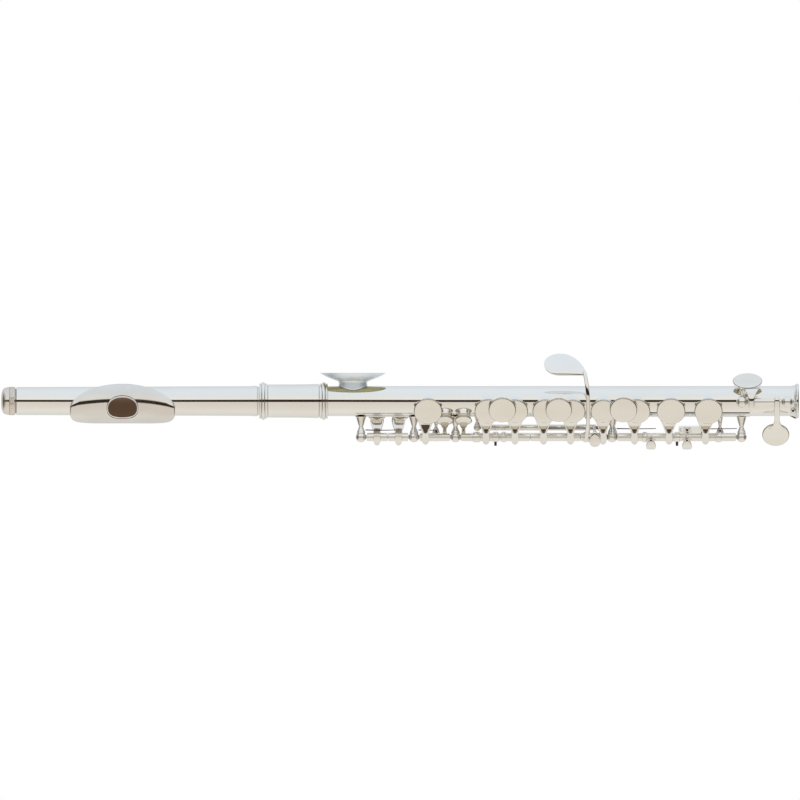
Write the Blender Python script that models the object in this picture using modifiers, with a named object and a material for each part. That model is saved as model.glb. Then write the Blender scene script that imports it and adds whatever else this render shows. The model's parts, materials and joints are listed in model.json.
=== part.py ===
"""Metal piccolo: head joint and body with closed-cup keywork, one solid per sub-part.

The tube lies along X, crown at -X and foot at +X. Tone holes open towards +Z, the
player's side with the hinge line is -Y and the far side is +Y. Lengths along the tube
are stations, measured from the crown end. Angles around the tube are measured from the
top (+Z), positive towards the far side. Every key is built closed on its tone hole and
then turned about its own hinge to its rest position.
"""

from math import asin, copysign, cos, pi, radians, sin, sqrt, tanh, tau

import bmesh
import bpy
from mathutils import Matrix, Vector

MM = 0.001
MERGE = 0.01 * MM

# Tubes
LENGTH = 319.2 * MM
HEAD_RADIUS = 5.7 * MM
HEAD_CROWN_RADIUS = 5.6 * MM
HEAD_WIDE_RADIUS = 5.95 * MM
HEAD_BORE = 5.2 * MM
HEAD_START = 6.1 * MM
HEAD_END = 126.3 * MM
BODY_RADIUS = 6.0 * MM
BODY_BORE = 5.5 * MM
BODY_START = 127.0 * MM
BODY_END = LENGTH - 0.6 * MM
BARREL_START = 103.5 * MM
BARREL_END = 130.5 * MM
RING_LENGTH = 3.3 * MM
SEAT_GAP = 0.3 * MM
SOCKET_GAP = 0.1 * MM
TUBE_SIDES = 32

# Where the tube axis stands, so that the box of the whole object is centred on X and Y
# and rests on Z = 0
AXIS_Y = -1.52 * MM
AXIS_Z = 11.54 * MM

# Embouchure
EMBOUCHURE = 48.6 * MM
HOLE_HALF_LENGTH = 5.7 * MM
HOLE_HALF_WIDTH = 4.2 * MM
RISER_WALL = 0.6 * MM
PLATE_RADIUS = 8.5 * MM
PLATE_HALF_LENGTH = 21.0 * MM
PLATE_THICKNESS = 0.7 * MM

# Cups and pads, heights measured from the underside of the pad
CHIMNEY_TOP = 7.4 * MM
PAD_SEAT = CHIMNEY_TOP + SEAT_GAP
CUP_HEIGHT = 2.0 * MM
CUP_LIP = 0.35 * MM
CUP_WALL = 0.4 * MM
CUP_ROOF = 0.5 * MM
CUP_EDGE = 0.25 * MM
CUP_SIDES = 20
PAD_GAP = 0.1 * MM

# Hinges: each line is (angle around the tube, distance from the tube axis)
MAIN_LINE = (radians(-70), 14.4 * MM)
TRILL_LINE = (radians(-86), 14.9 * MM)
SIDE_LINE = (radians(-86), 11.0 * MM)
FOOT_LINE = (radians(18), 9.8 * MM)
HINGE_RADIUS = 1.65 * MM
HINGE_BORE = 0.95 * MM
STEEL_RADIUS = 0.8 * MM
HINGE_SIDES = 12
POST_SIDES = 12
PAD_SIDES = 16
CHIMNEY_SIDES = 12
THIN_RADIUS = 1.3 * MM
THIN_BORE = 0.9 * MM
THIN_STEEL = 0.7 * MM
BALL_RADIUS = 2.1 * MM
POST_WAIST = 1.05 * MM
POST_BASE = 1.9 * MM
RIB_INNER = BODY_RADIUS + SEAT_GAP
RIB_OUTER = 7.0 * MM

# Rest positions
KEY_OPEN = radians(5.5)

# Stations of the main posts
THUMB_POST = 144.0 * MM
UPPER_POST = 165.2 * MM
LEFT_POST = 181.8 * MM
MIDDLE_POST = 244.4 * MM
LOWER_POST = 287.6 * MM
FOOT_POST = 296.2 * MM

# Open-standing keys over the top of the tube: cup station, cup radius, arm station
TOP_CUPS = {
    "c_key": (170.8, 5.3, 169.8),
    "b_flat_key": (194.8, 5.2, 194.0),
    "a_key": (205.6, 5.2, 205.6),
    "g_upper": (217.8, 5.2, 217.0),
    "g_lower": (228.6, 5.1, 227.8),
    "f_sharp_key": (241.0, 5.1, 240.8),
    "f_key": (254.4, 5.3, 253.4),
    "e_key": (268.0, 5.5, 267.2),
    "d_key": (283.0, 5.5, 281.8),
}


def clear_scene():
    """Removes the objects a new file starts with."""
    for obj in list(bpy.data.objects):
        bpy.data.objects.remove(obj)


def new_collection(name, hidden):
    """A collection in the scene, left out of renders when it only holds tools."""
    collection = bpy.data.collections.new(name)
    collection.hide_render = hidden
    bpy.context.scene.collection.children.link(collection)
    return collection


def new_material(name, colour, roughness, metallic):
    """A plain Principled material."""
    material = bpy.data.materials.new(name)
    material.use_nodes = True
    shader = material.node_tree.nodes["Principled BSDF"]
    shader.inputs["Base Color"].default_value = (*colour, 1.0)
    shader.inputs["Roughness"].default_value = roughness
    shader.inputs["Metallic"].default_value = metallic
    return material


clear_scene()
PARTS = new_collection("piccolo", hidden=False)
TOOLS = new_collection("tools", hidden=True)
SILVER = new_material("silver_plate", (0.86, 0.85, 0.82), 0.12, 1.0)
SATIN = new_material("satin_silver", (0.80, 0.78, 0.73), 0.32, 1.0)
STEEL = new_material("hinge_steel", (0.55, 0.56, 0.58), 0.25, 1.0)
BLUED = new_material("blued_spring", (0.07, 0.08, 0.12), 0.30, 1.0)
CORK = new_material("cork", (0.62, 0.43, 0.27), 0.85, 0.0)
SKIN = new_material("pad_skin", (0.85, 0.74, 0.55), 0.55, 0.0)


def polar(angle, radius):
    """Offsets (y, z) from the tube axis."""
    return radius * sin(angle), radius * cos(angle)


def place(station, y=0.0, z=0.0):
    """World position of a station with offsets from the tube axis."""
    return Vector((station - LENGTH / 2, AXIS_Y + y, AXIS_Z + z))


def on_line(station, line):
    """World position of a station on a hinge line."""
    return place(station, *polar(*line))


def new_object(name, mesh, material, location=(0.0, 0.0, 0.0)):
    """An object among the parts, smooth on its round sides."""
    mesh.shade_smooth()
    mesh.set_sharp_from_angle(angle=radians(35))
    if material:
        mesh.materials.append(material)
    obj = bpy.data.objects.new(name, mesh)
    obj.location = location
    PARTS.objects.link(obj)
    return obj


def from_bmesh(name, bm, material, location=(0.0, 0.0, 0.0)):
    """Turns a finished bmesh into an object with its faces pointing out."""
    bmesh.ops.recalc_face_normals(bm, faces=bm.faces)
    mesh = bpy.data.meshes.new(name)
    bm.to_mesh(mesh)
    bm.free()
    return new_object(name, mesh, material, location)


def turned(name, profile, sides, material=None, ring=False):
    """A turned solid about local Z; profile is (radius, height) down the outer side."""
    edges = [(i, i + 1) for i in range(len(profile) - 1)]
    if ring:
        edges.append((len(profile) - 1, 0))
    mesh = bpy.data.meshes.new(name)
    mesh.from_pydata([(radius, 0.0, height) for radius, height in profile], edges, [])
    obj = new_object(name, mesh, material)
    screw = obj.modifiers.new("Turn", "SCREW")
    screw.steps = sides
    screw.render_steps = sides
    screw.use_merge_vertices = True
    screw.merge_threshold = MERGE
    return obj


def turned_along(name, profile, sides, material=None, ring=False):
    """A turned solid about the tube axis; profile heights are stations, foot end first."""
    obj = turned(name, profile, sides, material, ring)
    obj.rotation_euler.y = pi / 2
    obj.location = place(0.0)
    return obj


def hollow(outer, inner, start, end):
    """Closed profile of a plain tube between two stations."""
    return [(outer, end), (outer, start), (inner, start), (inner, end)]


def rods(name, specs, sides, material=None):
    """Straight cylinders in one mesh, each given as (start, end, radius) in the world."""
    bm = bmesh.new()
    for start, end, radius in specs:
        axis = end - start
        turn = axis.to_track_quat("Z", "Y").to_matrix().to_4x4()
        bmesh.ops.create_cone(
            bm,
            cap_ends=True,
            segments=sides,
            radius1=radius,
            radius2=radius,
            depth=axis.length,
            matrix=Matrix.Translation((start + end) / 2) @ turn,
        )
    return from_bmesh(name, bm, material)


def lofted(name, rings, material=None, origin=(0.0, 0.0, 0.0)):
    """A solid through rings of world points, closed by a flat cap at each end."""
    bm = bmesh.new()
    origin = Vector(origin)
    rows = [[bm.verts.new(point - origin) for point in ring] for ring in rings]
    count = len(rows[0])
    for low, high in zip(rows, rows[1:]):
        for i in range(count):
            j = (i + 1) % count
            bm.faces.new((low[i], low[j], high[j], high[i]))
    bm.faces.new(rows[0])
    bm.faces.new(reversed(rows[-1]))
    return from_bmesh(name, bm, material, origin)


def bar(name, station, path, material=None, origin=(0.0, 0.0, 0.0), sway=None):
    """A bent bar across the tube. Each point of path is (y, z, half width, thickness,
    groove) in millimetres; the groove hollows the side that faces out. sway shifts each
    point along the tube."""
    points = [Vector((y, z)) for y, z, *_ in path]
    rings = []
    for i, (y, z, half, thickness, groove) in enumerate(path):
        run = points[min(i + 1, len(points) - 1)] - points[max(i - 1, 0)]
        out = Vector((run.y, -run.x)).normalized()
        middle = station + (sway[i] if sway else 0.0) * MM
        section = [
            (-half, thickness / 2),
            (-half * 0.5, thickness / 2 - groove),
            (half * 0.5, thickness / 2 - groove),
            (half, thickness / 2),
            (half, -thickness / 2),
            (-half, -thickness / 2),
        ]
        rings.append([
            place(middle + across * MM, (y + rise * out.x) * MM, (z + rise * out.y) * MM)
            for across, rise in section
        ])
    return lofted(name, rings, material, origin)


def boolean(target, tool, operation):
    """Adds one Boolean and puts the tool away."""
    PARTS.objects.unlink(tool)
    TOOLS.objects.link(tool)
    tool.display_type = "WIRE"
    modifier = target.modifiers.new(operation.title(), "BOOLEAN")
    modifier.operation = operation
    modifier.solver = "EXACT"
    modifier.object = tool


def unite(target, *tools):
    """Joins the tools to the target."""
    for tool in tools:
        boolean(target, tool, "UNION")


def cut(target, *tools):
    """Takes the tools away from the target."""
    for tool in tools:
        boolean(target, tool, "DIFFERENCE")


def attach(key, *pieces):
    """Hangs pieces on a key that is still in its closed position."""
    for piece in pieces:
        piece.parent = key
        piece.location -= key.location


def unite_key(key, *tools):
    """Joins tools to a key and lets them turn with it."""
    attach(key, *tools)
    unite(key, *tools)


def tone_hole_cylinders(name, radius_index, low, high, grow=0.0):
    """One cylinder on every tone hole, from one height to another."""
    specs = []
    for station, angle, *radii in TONE_HOLES:
        start = place(station * MM, *polar(radians(angle), low))
        end = place(station * MM, *polar(radians(angle), high))
        specs.append((start, end, radii[radius_index] * MM + grow))
    return rods(name, specs, CHIMNEY_SIDES)


# Tone holes: station, angle, chimney radius, hole radius
TONE_HOLES = [(station, 0.0, 3.3, 2.8) for station, *_ in TOP_CUPS.values()]
TONE_HOLES += [
    (150.4, -140.0, 3.2, 2.7),
    (159.7, -140.0, 3.2, 2.7),
    (177.5, -38.0, 2.4, 1.9),
    (185.0, -38.0, 2.4, 1.9),
    (234.85, -150.0, 3.2, 2.7),
    (298.6, 80.0, 4.2, 3.6),
]


def bead(station, radius, bump, count, length):
    """Profile points of a row of half-round beads, running back from a station."""
    points = []
    pitch = length / count
    steps = 3
    for i in range(count):
        centre = station - pitch * (i + 0.5)
        for k in range(steps + 1):
            turn = pi * k / steps
            points.append((radius + bump * sin(turn), centre + pitch * 0.46 * cos(turn)))
    return points


def make_head_joint():
    """Head tube, riser and lip plate."""
    swell = HEAD_WIDE_RADIUS + 0.15 * MM
    tube = turned_along("head_tube", [
        (HEAD_RADIUS, HEAD_END),
        (HEAD_RADIUS, BARREL_START - SEAT_GAP * 2),
        (swell, BARREL_START - SEAT_GAP * 3),
        (swell, BARREL_START - 2.0 * MM),
        (HEAD_WIDE_RADIUS, BARREL_START - 3.4 * MM),
        (HEAD_CROWN_RADIUS, HEAD_START),
        (HEAD_BORE, HEAD_START),
        (HEAD_BORE, HEAD_END),
    ], TUBE_SIDES, SILVER, ring=True)
    hole = oval_prism("embouchure_tool", RISER_WALL + SOCKET_GAP * 2, 0.0, 12.0 * MM)
    cut(tube, hole)
    make_riser()
    make_lip_plate()


def oval(grow, turn):
    """Offsets along and across the tube of a point on the embouchure oval."""
    power = 2 / 2.3
    along = copysign(abs(cos(turn)) ** power, cos(turn)) * (HOLE_HALF_LENGTH + grow)
    across = copysign(abs(sin(turn)) ** power, sin(turn)) * (HOLE_HALF_WIDTH + grow)
    return along, across


OVAL_STEPS = 32


def oval_ring(grow, height):
    """A ring on the embouchure oval; height gives z from the offset across the tube."""
    ring = []
    for i in range(OVAL_STEPS):
        along, across = oval(grow, tau * i / OVAL_STEPS)
        ring.append(place(EMBOUCHURE + along, across, height(across)))
    return ring


def oval_prism(name, grow, low, high):
    """A straight oval tool over the embouchure."""
    return lofted(name, [oval_ring(grow, lambda _: low), oval_ring(grow, lambda _: high)])


def make_riser():
    """Oval wall that follows the tube below and the lip plate above."""
    low = HEAD_BORE - 0.2 * MM
    high = PLATE_RADIUS + PLATE_THICKNESS / 2

    def floor(across):
        return sqrt(low ** 2 - across ** 2)

    def roof(across):
        return sqrt(high ** 2 - across ** 2)

    rings = [
        oval_ring(RISER_WALL, floor),
        oval_ring(RISER_WALL, roof),
        oval_ring(0.0, roof),
        oval_ring(0.0, floor),
    ]
    bm = bmesh.new()
    rows = [[bm.verts.new(point) for point in ring] for ring in rings]
    for low_row, high_row in zip(rows, rows[1:] + rows[:1]):
        for i in range(OVAL_STEPS):
            j = (i + 1) % OVAL_STEPS
            bm.faces.new((low_row[i], low_row[j], high_row[j], high_row[i]))
    from_bmesh("lip_riser", bm, SILVER)


def plate_edge(turn):
    """Offset along the tube and angle of a point on the outline of the lip plate."""
    far = sin(turn) > 0
    reach = radians(80.0) if far else radians(62.0)
    power = 1.0 if far else 0.45
    along = copysign(abs(cos(turn)) ** power, cos(turn)) * PLATE_HALF_LENGTH
    angle = copysign(abs(sin(turn)) ** power, sin(turn)) * reach
    return along, angle - radians(7.0)


def plate_point(along, angle):
    """A point on the saddle of the lip plate, which sinks most at its far corners."""
    twist = tanh((angle - radians(5.0)) / radians(35.0))
    dip = (1.0 + 1.5 * twist) * MM * (along / PLATE_HALF_LENGTH) ** 2
    flare = 0.2 * MM * (angle / radians(72.0)) ** 2
    radius = PLATE_RADIUS - dip + flare
    return place(EMBOUCHURE + along, *polar(angle, radius))


def make_lip_plate():
    """Thin saddle between the embouchure oval and its outline, thickened both ways."""
    steps = 5
    bm = bmesh.new()
    rows = []
    for k in range(steps + 1):
        share = k / steps
        row = []
        for i in range(OVAL_STEPS):
            turn = tau * i / OVAL_STEPS
            along, across = oval(RISER_WALL + SOCKET_GAP * 2, turn)
            edge_along, edge_angle = plate_edge(turn)
            angle = asin(across / PLATE_RADIUS)
            row.append(bm.verts.new(plate_point(
                along + (edge_along - along) * share,
                angle + (edge_angle - angle) * share,
            )))
        rows.append(row)
    for low, high in zip(rows, rows[1:]):
        for i in range(OVAL_STEPS):
            j = (i + 1) % OVAL_STEPS
            bm.faces.new((low[i], low[j], high[j], high[i]))
    plate = from_bmesh("lip_plate", bm, SATIN)
    solid = plate.modifiers.new("Thickness", "SOLIDIFY")
    solid.thickness = PLATE_THICKNESS
    solid.offset = 0.0


def make_crown_and_stopper():
    """Crown outside the head, stopper stem, cork and nut inside it."""
    outer = 5.5 * MM
    corner = 1.6 * MM
    stem = 1.6 * MM
    rounding = [
        (outer - corner + corner * cos(pi / 2 * i / 3), corner - corner * sin(pi / 2 * i / 3))
        for i in range(4)
    ]
    crown_end = HEAD_START - SEAT_GAP
    neck_end = 9.0 * MM
    turned_along("head_crown", [
        (HEAD_BORE - SEAT_GAP, neck_end),
        (HEAD_BORE - SEAT_GAP, crown_end),
        (outer, crown_end),
        (outer + 0.15 * MM, crown_end - 0.4 * MM),
        (outer + 0.15 * MM, 3.4 * MM),
        *rounding,
        (0.0, 0.0),
        (0.0, 2.4 * MM),
        (stem + SEAT_GAP, 2.4 * MM),
        (stem + SEAT_GAP, neck_end),
    ], TUBE_SIDES, SATIN, ring=True)
    plate_start = 39.0 * MM
    turned_along("stopper_stem", [
        (0.0, plate_start + 1.6 * MM),
        (HEAD_BORE - 0.2 * MM, plate_start + 1.6 * MM),
        (HEAD_BORE - 0.2 * MM, plate_start),
        (stem, plate_start),
        (stem, 3.4 * MM),
        (0.0, 3.4 * MM),
    ], PAD_SIDES, SILVER)
    cork_radius = HEAD_BORE - SOCKET_GAP
    cork = hollow(cork_radius, stem + SOCKET_GAP, 28.0 * MM, plate_start - SEAT_GAP)
    turned_along("stopper_cork", cork, PAD_SIDES, CORK, ring=True)
    nut = hollow(HEAD_BORE - 0.3 * MM, stem + SOCKET_GAP, 25.0 * MM, 27.7 * MM)
    turned_along("stopper_nut", nut, PAD_SIDES, SILVER, ring=True)


def make_barrel():
    """Socket that takes the head joint, with a beaded ring at each end."""
    under_ring = 6.35 * MM
    over = 6.65 * MM
    upper_end = 106.9 * MM
    lower_start = 127.1 * MM
    head_socket = HEAD_RADIUS + SOCKET_GAP
    body_socket = BODY_RADIUS + SOCKET_GAP
    shoulder = BODY_START - SEAT_GAP
    turned_along("barrel", [
        (under_ring, BARREL_END),
        (under_ring, lower_start),
        (over, lower_start),
        (over, upper_end),
        (under_ring, upper_end),
        (under_ring, BARREL_START),
        (head_socket, BARREL_START),
        (head_socket, shoulder),
        (body_socket, shoulder),
        (body_socket, BARREL_END),
    ], TUBE_SIDES, SILVER, ring=True)
    ring_bore = under_ring + SOCKET_GAP
    for name, end in (
        ("barrel_ring_upper", upper_end - SEAT_GAP),
        ("barrel_ring_lower", lower_start + SEAT_GAP + RING_LENGTH),
    ):
        start = end - RING_LENGTH
        beads = bead(end, 7.0 * MM, 0.55 * MM, 2, RING_LENGTH)
        turned_along(name, [
            (7.0 * MM, end),
            *beads,
            (7.0 * MM, start),
            (ring_bore, start),
            (ring_bore, end),
        ], TUBE_SIDES, SILVER, ring=True)


def make_body_tube():
    """Body tube with its chimneys, and the end ring at the foot."""
    tube = turned_along("body_tube", [
        (0.0, BODY_END),
        (BODY_RADIUS, BODY_END),
        (BODY_RADIUS, BODY_START),
        (0.0, BODY_START),
    ], TUBE_SIDES, SILVER)
    unite(tube, tone_hole_cylinders("chimney_tool", 0, 3.0 * MM, CHIMNEY_TOP))
    margin = 1.0 * MM
    bore = rods("bore_tool", [(place(BODY_START - margin), place(BODY_END + margin), BODY_BORE)],
                TUBE_SIDES)
    cut(tube, bore, tone_hole_cylinders("hole_tool", 1, 2.0 * MM, 9.0 * MM))
    ring_start = 316.4 * MM
    flat = 6.55 * MM
    swell = [
        (flat + 0.35 * MM * sin(pi * i / 4), ring_start + 2.8 * MM - 2.4 * MM * i / 4)
        for i in range(5)
    ]
    turned_along("end_ring", [
        *swell,
        (BODY_RADIUS + SOCKET_GAP, ring_start),
        (BODY_RADIUS + SOCKET_GAP, BODY_END + SOCKET_GAP),
        (BODY_BORE, BODY_END + SOCKET_GAP),
        (BODY_BORE, LENGTH),
    ], TUBE_SIDES, SILVER, ring=True)


def make_finger_rest():
    """Oval dish on a short stem, on the far side."""
    station = 140.8 * MM
    angle = radians(110.0)
    out = Vector((0.0, sin(angle), cos(angle)))
    side = Vector((0.0, cos(angle), -sin(angle)))
    along = Vector((1.0, 0.0, 0.0))
    # half length, half width and height of each ring, from the stem over the rim inwards
    outline = [
        (5.8, 4.4, 3.0),
        (5.8, 4.4, 7.9),
        (7.6, 5.4, 8.4),
        (10.4, 6.9, 9.5),
        (12.2, 7.8, 10.5),
        (13.2, 8.2, 11.2),
        (12.4, 7.5, 11.2),
        (10.4, 6.4, 10.3),
        (7.6, 4.9, 9.4),
        (4.2, 2.8, 8.9),
    ]
    sides = 24
    rings = []
    for half_length, half_width, height in outline:
        ring = []
        for i in range(sides):
            turn = tau * i / sides
            ring.append(
                place(station)
                + along * half_length * MM * cos(turn)
                + side * half_width * MM * sin(turn)
                + out * height * MM
            )
        rings.append(ring)
    rest = lofted("finger_rest", rings, SILVER)
    cut(rest, tube_tool("finger_rest_tool", station, 16.0 * MM))


def tube_tool(name, station, half_length):
    """Cylinder that hollows a foot so that it stands just off the body tube."""
    start = place(station - half_length)
    end = place(station + half_length)
    return rods(name, [(start, end, RIB_INNER)], TUBE_SIDES)


def ball_post(name, station, line, ball, foot, material=None):
    """Waisted post with a ball on a hinge line."""
    angle, reach = line
    sweep = radians(150.0)
    steps = 5
    profile = [(0.0, reach + ball)]
    for i in range(1, steps + 1):
        turn = pi / 2 - sweep * i / steps
        profile.append((ball * cos(turn), reach + ball * sin(turn)))
    middle = (profile[-1][1] + foot) / 2
    profile += [
        (POST_WAIST, middle),
        (POST_WAIST * 1.25, foot + 1.2 * MM),
        (POST_BASE, foot + 0.3 * MM),
        (POST_BASE, foot - 0.4 * MM),
        (0.0, foot - 0.4 * MM),
    ]
    post = turned(name, profile, POST_SIDES, material)
    post.rotation_euler.x = -angle
    post.location = place(station)
    return post


def rib_strap(name, start, end, first, last):
    """Curved strap lying along the body tube between two angles."""
    steps = 5
    rings = []
    for station in (start, end):
        ring = []
        for i in range(steps + 1):
            ring.append(place(station, *polar(first + (last - first) * i / steps, RIB_OUTER)))
        for i in range(steps + 1):
            ring.append(place(station, *polar(last + (first - last) * i / steps, RIB_INNER)))
        rings.append(ring)
    return lofted(name, rings, SILVER)


def make_ribs():
    """The two ribs with the posts that stand on them."""
    main_bore = HINGE_BORE
    thin_ball = 1.8 * MM
    guide_ball = 2.2 * MM
    guide_bore = THIN_RADIUS + 0.15 * MM
    side_ball = 1.5 * MM
    side_bore = 0.7 * MM
    layout = {
        "left_rib": (141.5, 241.8, -63.0, -97.0, [
            (THUMB_POST, MAIN_LINE, BALL_RADIUS, main_bore),
            (UPPER_POST, MAIN_LINE, BALL_RADIUS, main_bore),
            (LEFT_POST, MAIN_LINE, BALL_RADIUS, main_bore),
            (174.0 * MM, TRILL_LINE, thin_ball, THIN_BORE),
            (190.5 * MM, SIDE_LINE, side_ball, side_bore),
            (239.6 * MM, SIDE_LINE, side_ball, side_bore),
        ]),
        "right_rib": (242.2, 299.5, -32.0, -98.0, [
            (MIDDLE_POST, MAIN_LINE, BALL_RADIUS, main_bore),
            (MIDDLE_POST + 0.4 * MM, TRILL_LINE, guide_ball, guide_bore),
            (LOWER_POST, TRILL_LINE, thin_ball, THIN_BORE),
            (FOOT_POST, MAIN_LINE, BALL_RADIUS, main_bore),
        ]),
    }
    for name, (start, end, first, last, posts) in layout.items():
        rib = rib_strap(name, start * MM, end * MM, radians(first), radians(last))
        bores = []
        for i, (station, line, ball, bore) in enumerate(posts):
            unite(rib, ball_post(f"{name}_post_tool_{i}", station, line, ball, RIB_OUTER))
            reach = ball + 1.0 * MM
            bores.append((on_line(station - reach, line), on_line(station + reach, line), bore))
        cut(rib, rods(f"{name}_bore_tool", bores, HINGE_SIDES))
    relief = tone_hole_cylinders("rib_relief_tool", 0, 5.0 * MM, 9.0 * MM, SEAT_GAP)
    cut(bpy.data.objects["right_rib"], relief)


def make_foot_posts():
    """The two posts that carry the E-flat key."""
    bore = 0.85 * MM
    for name, station in (("e_flat_post_upper", 296.4 * MM), ("e_flat_post_lower", 314.6 * MM)):
        post = ball_post(name, station, FOOT_LINE, 2.2 * MM, BODY_RADIUS, SILVER)
        cut(post, tube_tool(f"{name}_seat_tool", station, 5.0 * MM))
        ends = [on_line(station + side * 4.0 * MM, FOOT_LINE) for side in (-1, 1)]
        cut(post, rods(f"{name}_bore_tool", [(*ends, bore)], HINGE_SIDES))


def make_steels_and_springs():
    """Hinge steels through the posts, needle springs and adjusting screws."""
    stub = 1.9 * MM
    steels = {
        "thumb_steel": (THUMB_POST - stub, UPPER_POST - 0.2 * MM, MAIN_LINE, STEEL_RADIUS),
        "c_steel": (UPPER_POST + 0.2 * MM, LEFT_POST - 0.2 * MM, MAIN_LINE, STEEL_RADIUS),
        "left_hand_steel": (LEFT_POST + 0.2 * MM, MIDDLE_POST - 0.2 * MM, MAIN_LINE, STEEL_RADIUS),
        "right_hand_steel": (MIDDLE_POST + 0.2 * MM, FOOT_POST + stub, MAIN_LINE, STEEL_RADIUS),
        "e_flat_steel": (294.4 * MM, 316.6 * MM, FOOT_LINE, THIN_STEEL),
        "side_steel": (189.2 * MM, 240.9 * MM, SIDE_LINE, 0.55 * MM),
    }
    for name, (start, end, line, radius) in steels.items():
        rods(name, [(on_line(start, line), on_line(end, line), radius)], HINGE_SIDES, STEEL)
    spring_line = (MAIN_LINE[0], 11.0 * MM)
    springs = {
        "thumb_spring": (145.8, 158.0),
        "c_spring": (167.0, 174.5),
        "left_hand_spring": (216.0, 242.6),
        "right_hand_spring": (246.2, 262.0),
        "d_spring": (276.0, 294.4),
    }
    for name, (start, end) in springs.items():
        ends = (on_line(start * MM, spring_line), on_line(end * MM, spring_line))
        rods(name, [(*ends, 0.22 * MM)], 8, BLUED)
    for name, key, station in (
        ("adjusting_screw_left", "b_flat_key", 197.8 * MM),
        ("adjusting_screw_right", "e_key", 270.4 * MM),
    ):
        ends = [on_line(station, (MAIN_LINE[0], reach * MM)) for reach in (16.85, 18.3)]
        screw = rods(name, [(*ends, 0.5 * MM)], 12, STEEL)
        attach(bpy.data.objects[key], screw)


def cup_and_pad(name, key, station, angle, radius):
    """Joins a cup to a key and seats its pad."""
    inside = radius - CUP_WALL
    ceiling = CUP_HEIGHT - CUP_ROOF
    cup = turned(f"{name}_cup_tool", [
        (0.0, CUP_HEIGHT),
        (radius - CUP_EDGE, CUP_HEIGHT),
        (radius, CUP_HEIGHT - CUP_EDGE),
        (radius, CUP_LIP),
        (inside, CUP_LIP),
        (inside, ceiling),
        (0.0, ceiling),
    ], CUP_SIDES)
    pad_radius = inside - PAD_GAP * 1.5
    pad = turned(f"{name}_pad", [
        (0.0, ceiling - PAD_GAP),
        (pad_radius, ceiling - PAD_GAP),
        (pad_radius, 0.0),
        (0.0, 0.0),
    ], PAD_SIDES, SKIN)
    for piece in (cup, pad):
        piece.rotation_euler.x = -angle
        piece.location = place(station, *polar(angle, PAD_SEAT))
    unite_key(key, cup)
    attach(key, pad)


def hinge(name, key, line, start, end, outer, bore, collars=()):
    """Joins a hinge tube, with any collars on it, to a key."""
    profile = [(outer, end), (bore, end), (bore, start), (outer, start)]
    for low, high, radius in sorted(collars):
        profile += [(outer, low), (radius, low), (radius, high), (outer, high)]
    tube = turned(f"{name}_hinge_tool", profile[::-1], HINGE_SIDES, ring=True)
    tube.rotation_euler.y = pi / 2
    tube.location = on_line(0.0, line)
    unite_key(key, tube)


def top_arm_path(radius):
    """Arm from the roof of a top cup, over the hinge tube, to its pointed tip."""
    wide = radius / (5.2 * MM)
    return [
        (-3.0, 9.44, 4.1 * wide, 0.34, 0.0),
        (-5.1, 9.44, 3.5 * wide, 0.34, 0.0),
        (-6.4, 8.95, 2.8 * wide, 1.2, 0.3),
        (-8.2, 8.45, 2.0 * wide, 1.3, 0.7),
        (-9.8, 8.0, 1.5, 1.3, 0.4),
        (-11.4, 7.5, 1.45, 1.1, 0.0),
        (-13.2, 6.75, 1.5, 0.9, 0.0),
        (-15.0, 6.0, 1.3, 0.9, 0.0),
        (-16.4, 4.9, 0.9, 0.8, 0.0),
        (-17.1, 3.9, 0.4, 0.5, 0.0),
    ]


def top_key(name, cups, start, end, collars=()):
    """An open-standing key with one or two cups over the top of the tube."""
    key = None
    for cup in cups:
        station, radius, arm = (value * MM for value in TOP_CUPS[cup])
        origin = on_line(arm, MAIN_LINE) if key is None else key.location.copy()
        piece = bar(cup if key else name, arm, top_arm_path(radius), SILVER, origin)
        if key is None:
            key = piece
        else:
            unite_key(key, piece)
        cup_and_pad(cup, key, station, 0.0, radius)
    hinge(name, key, MAIN_LINE, start * MM, end * MM, HINGE_RADIUS, HINGE_BORE,
          [(low * MM, high * MM, 2.1 * MM) for low, high in collars])
    return key


def raised_touch(name, key, station, foot_station):
    """Finger disc standing on a pillar above its own cup and its neighbour."""
    radius = 5.3 * MM
    low = 11.0 * MM
    high = 11.9 * MM
    disc = turned(f"{name}_touch_tool", [
        (0.0, high),
        (radius - CUP_EDGE, high),
        (radius, high - CUP_EDGE),
        (radius, low),
        (0.0, low),
    ], CUP_SIDES)
    disc.location = place(station, 1.6 * MM)
    foot = place(foot_station, 0.9 * MM, PAD_SEAT + CUP_HEIGHT - CUP_ROOF * 0.6)
    head = place(foot_station, 0.9 * MM, (low + high) / 2)
    pillar = rods(f"{name}_pillar_tool", [(foot, head, 1.3 * MM)], 12)
    unite_key(key, pillar, disc)


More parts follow.
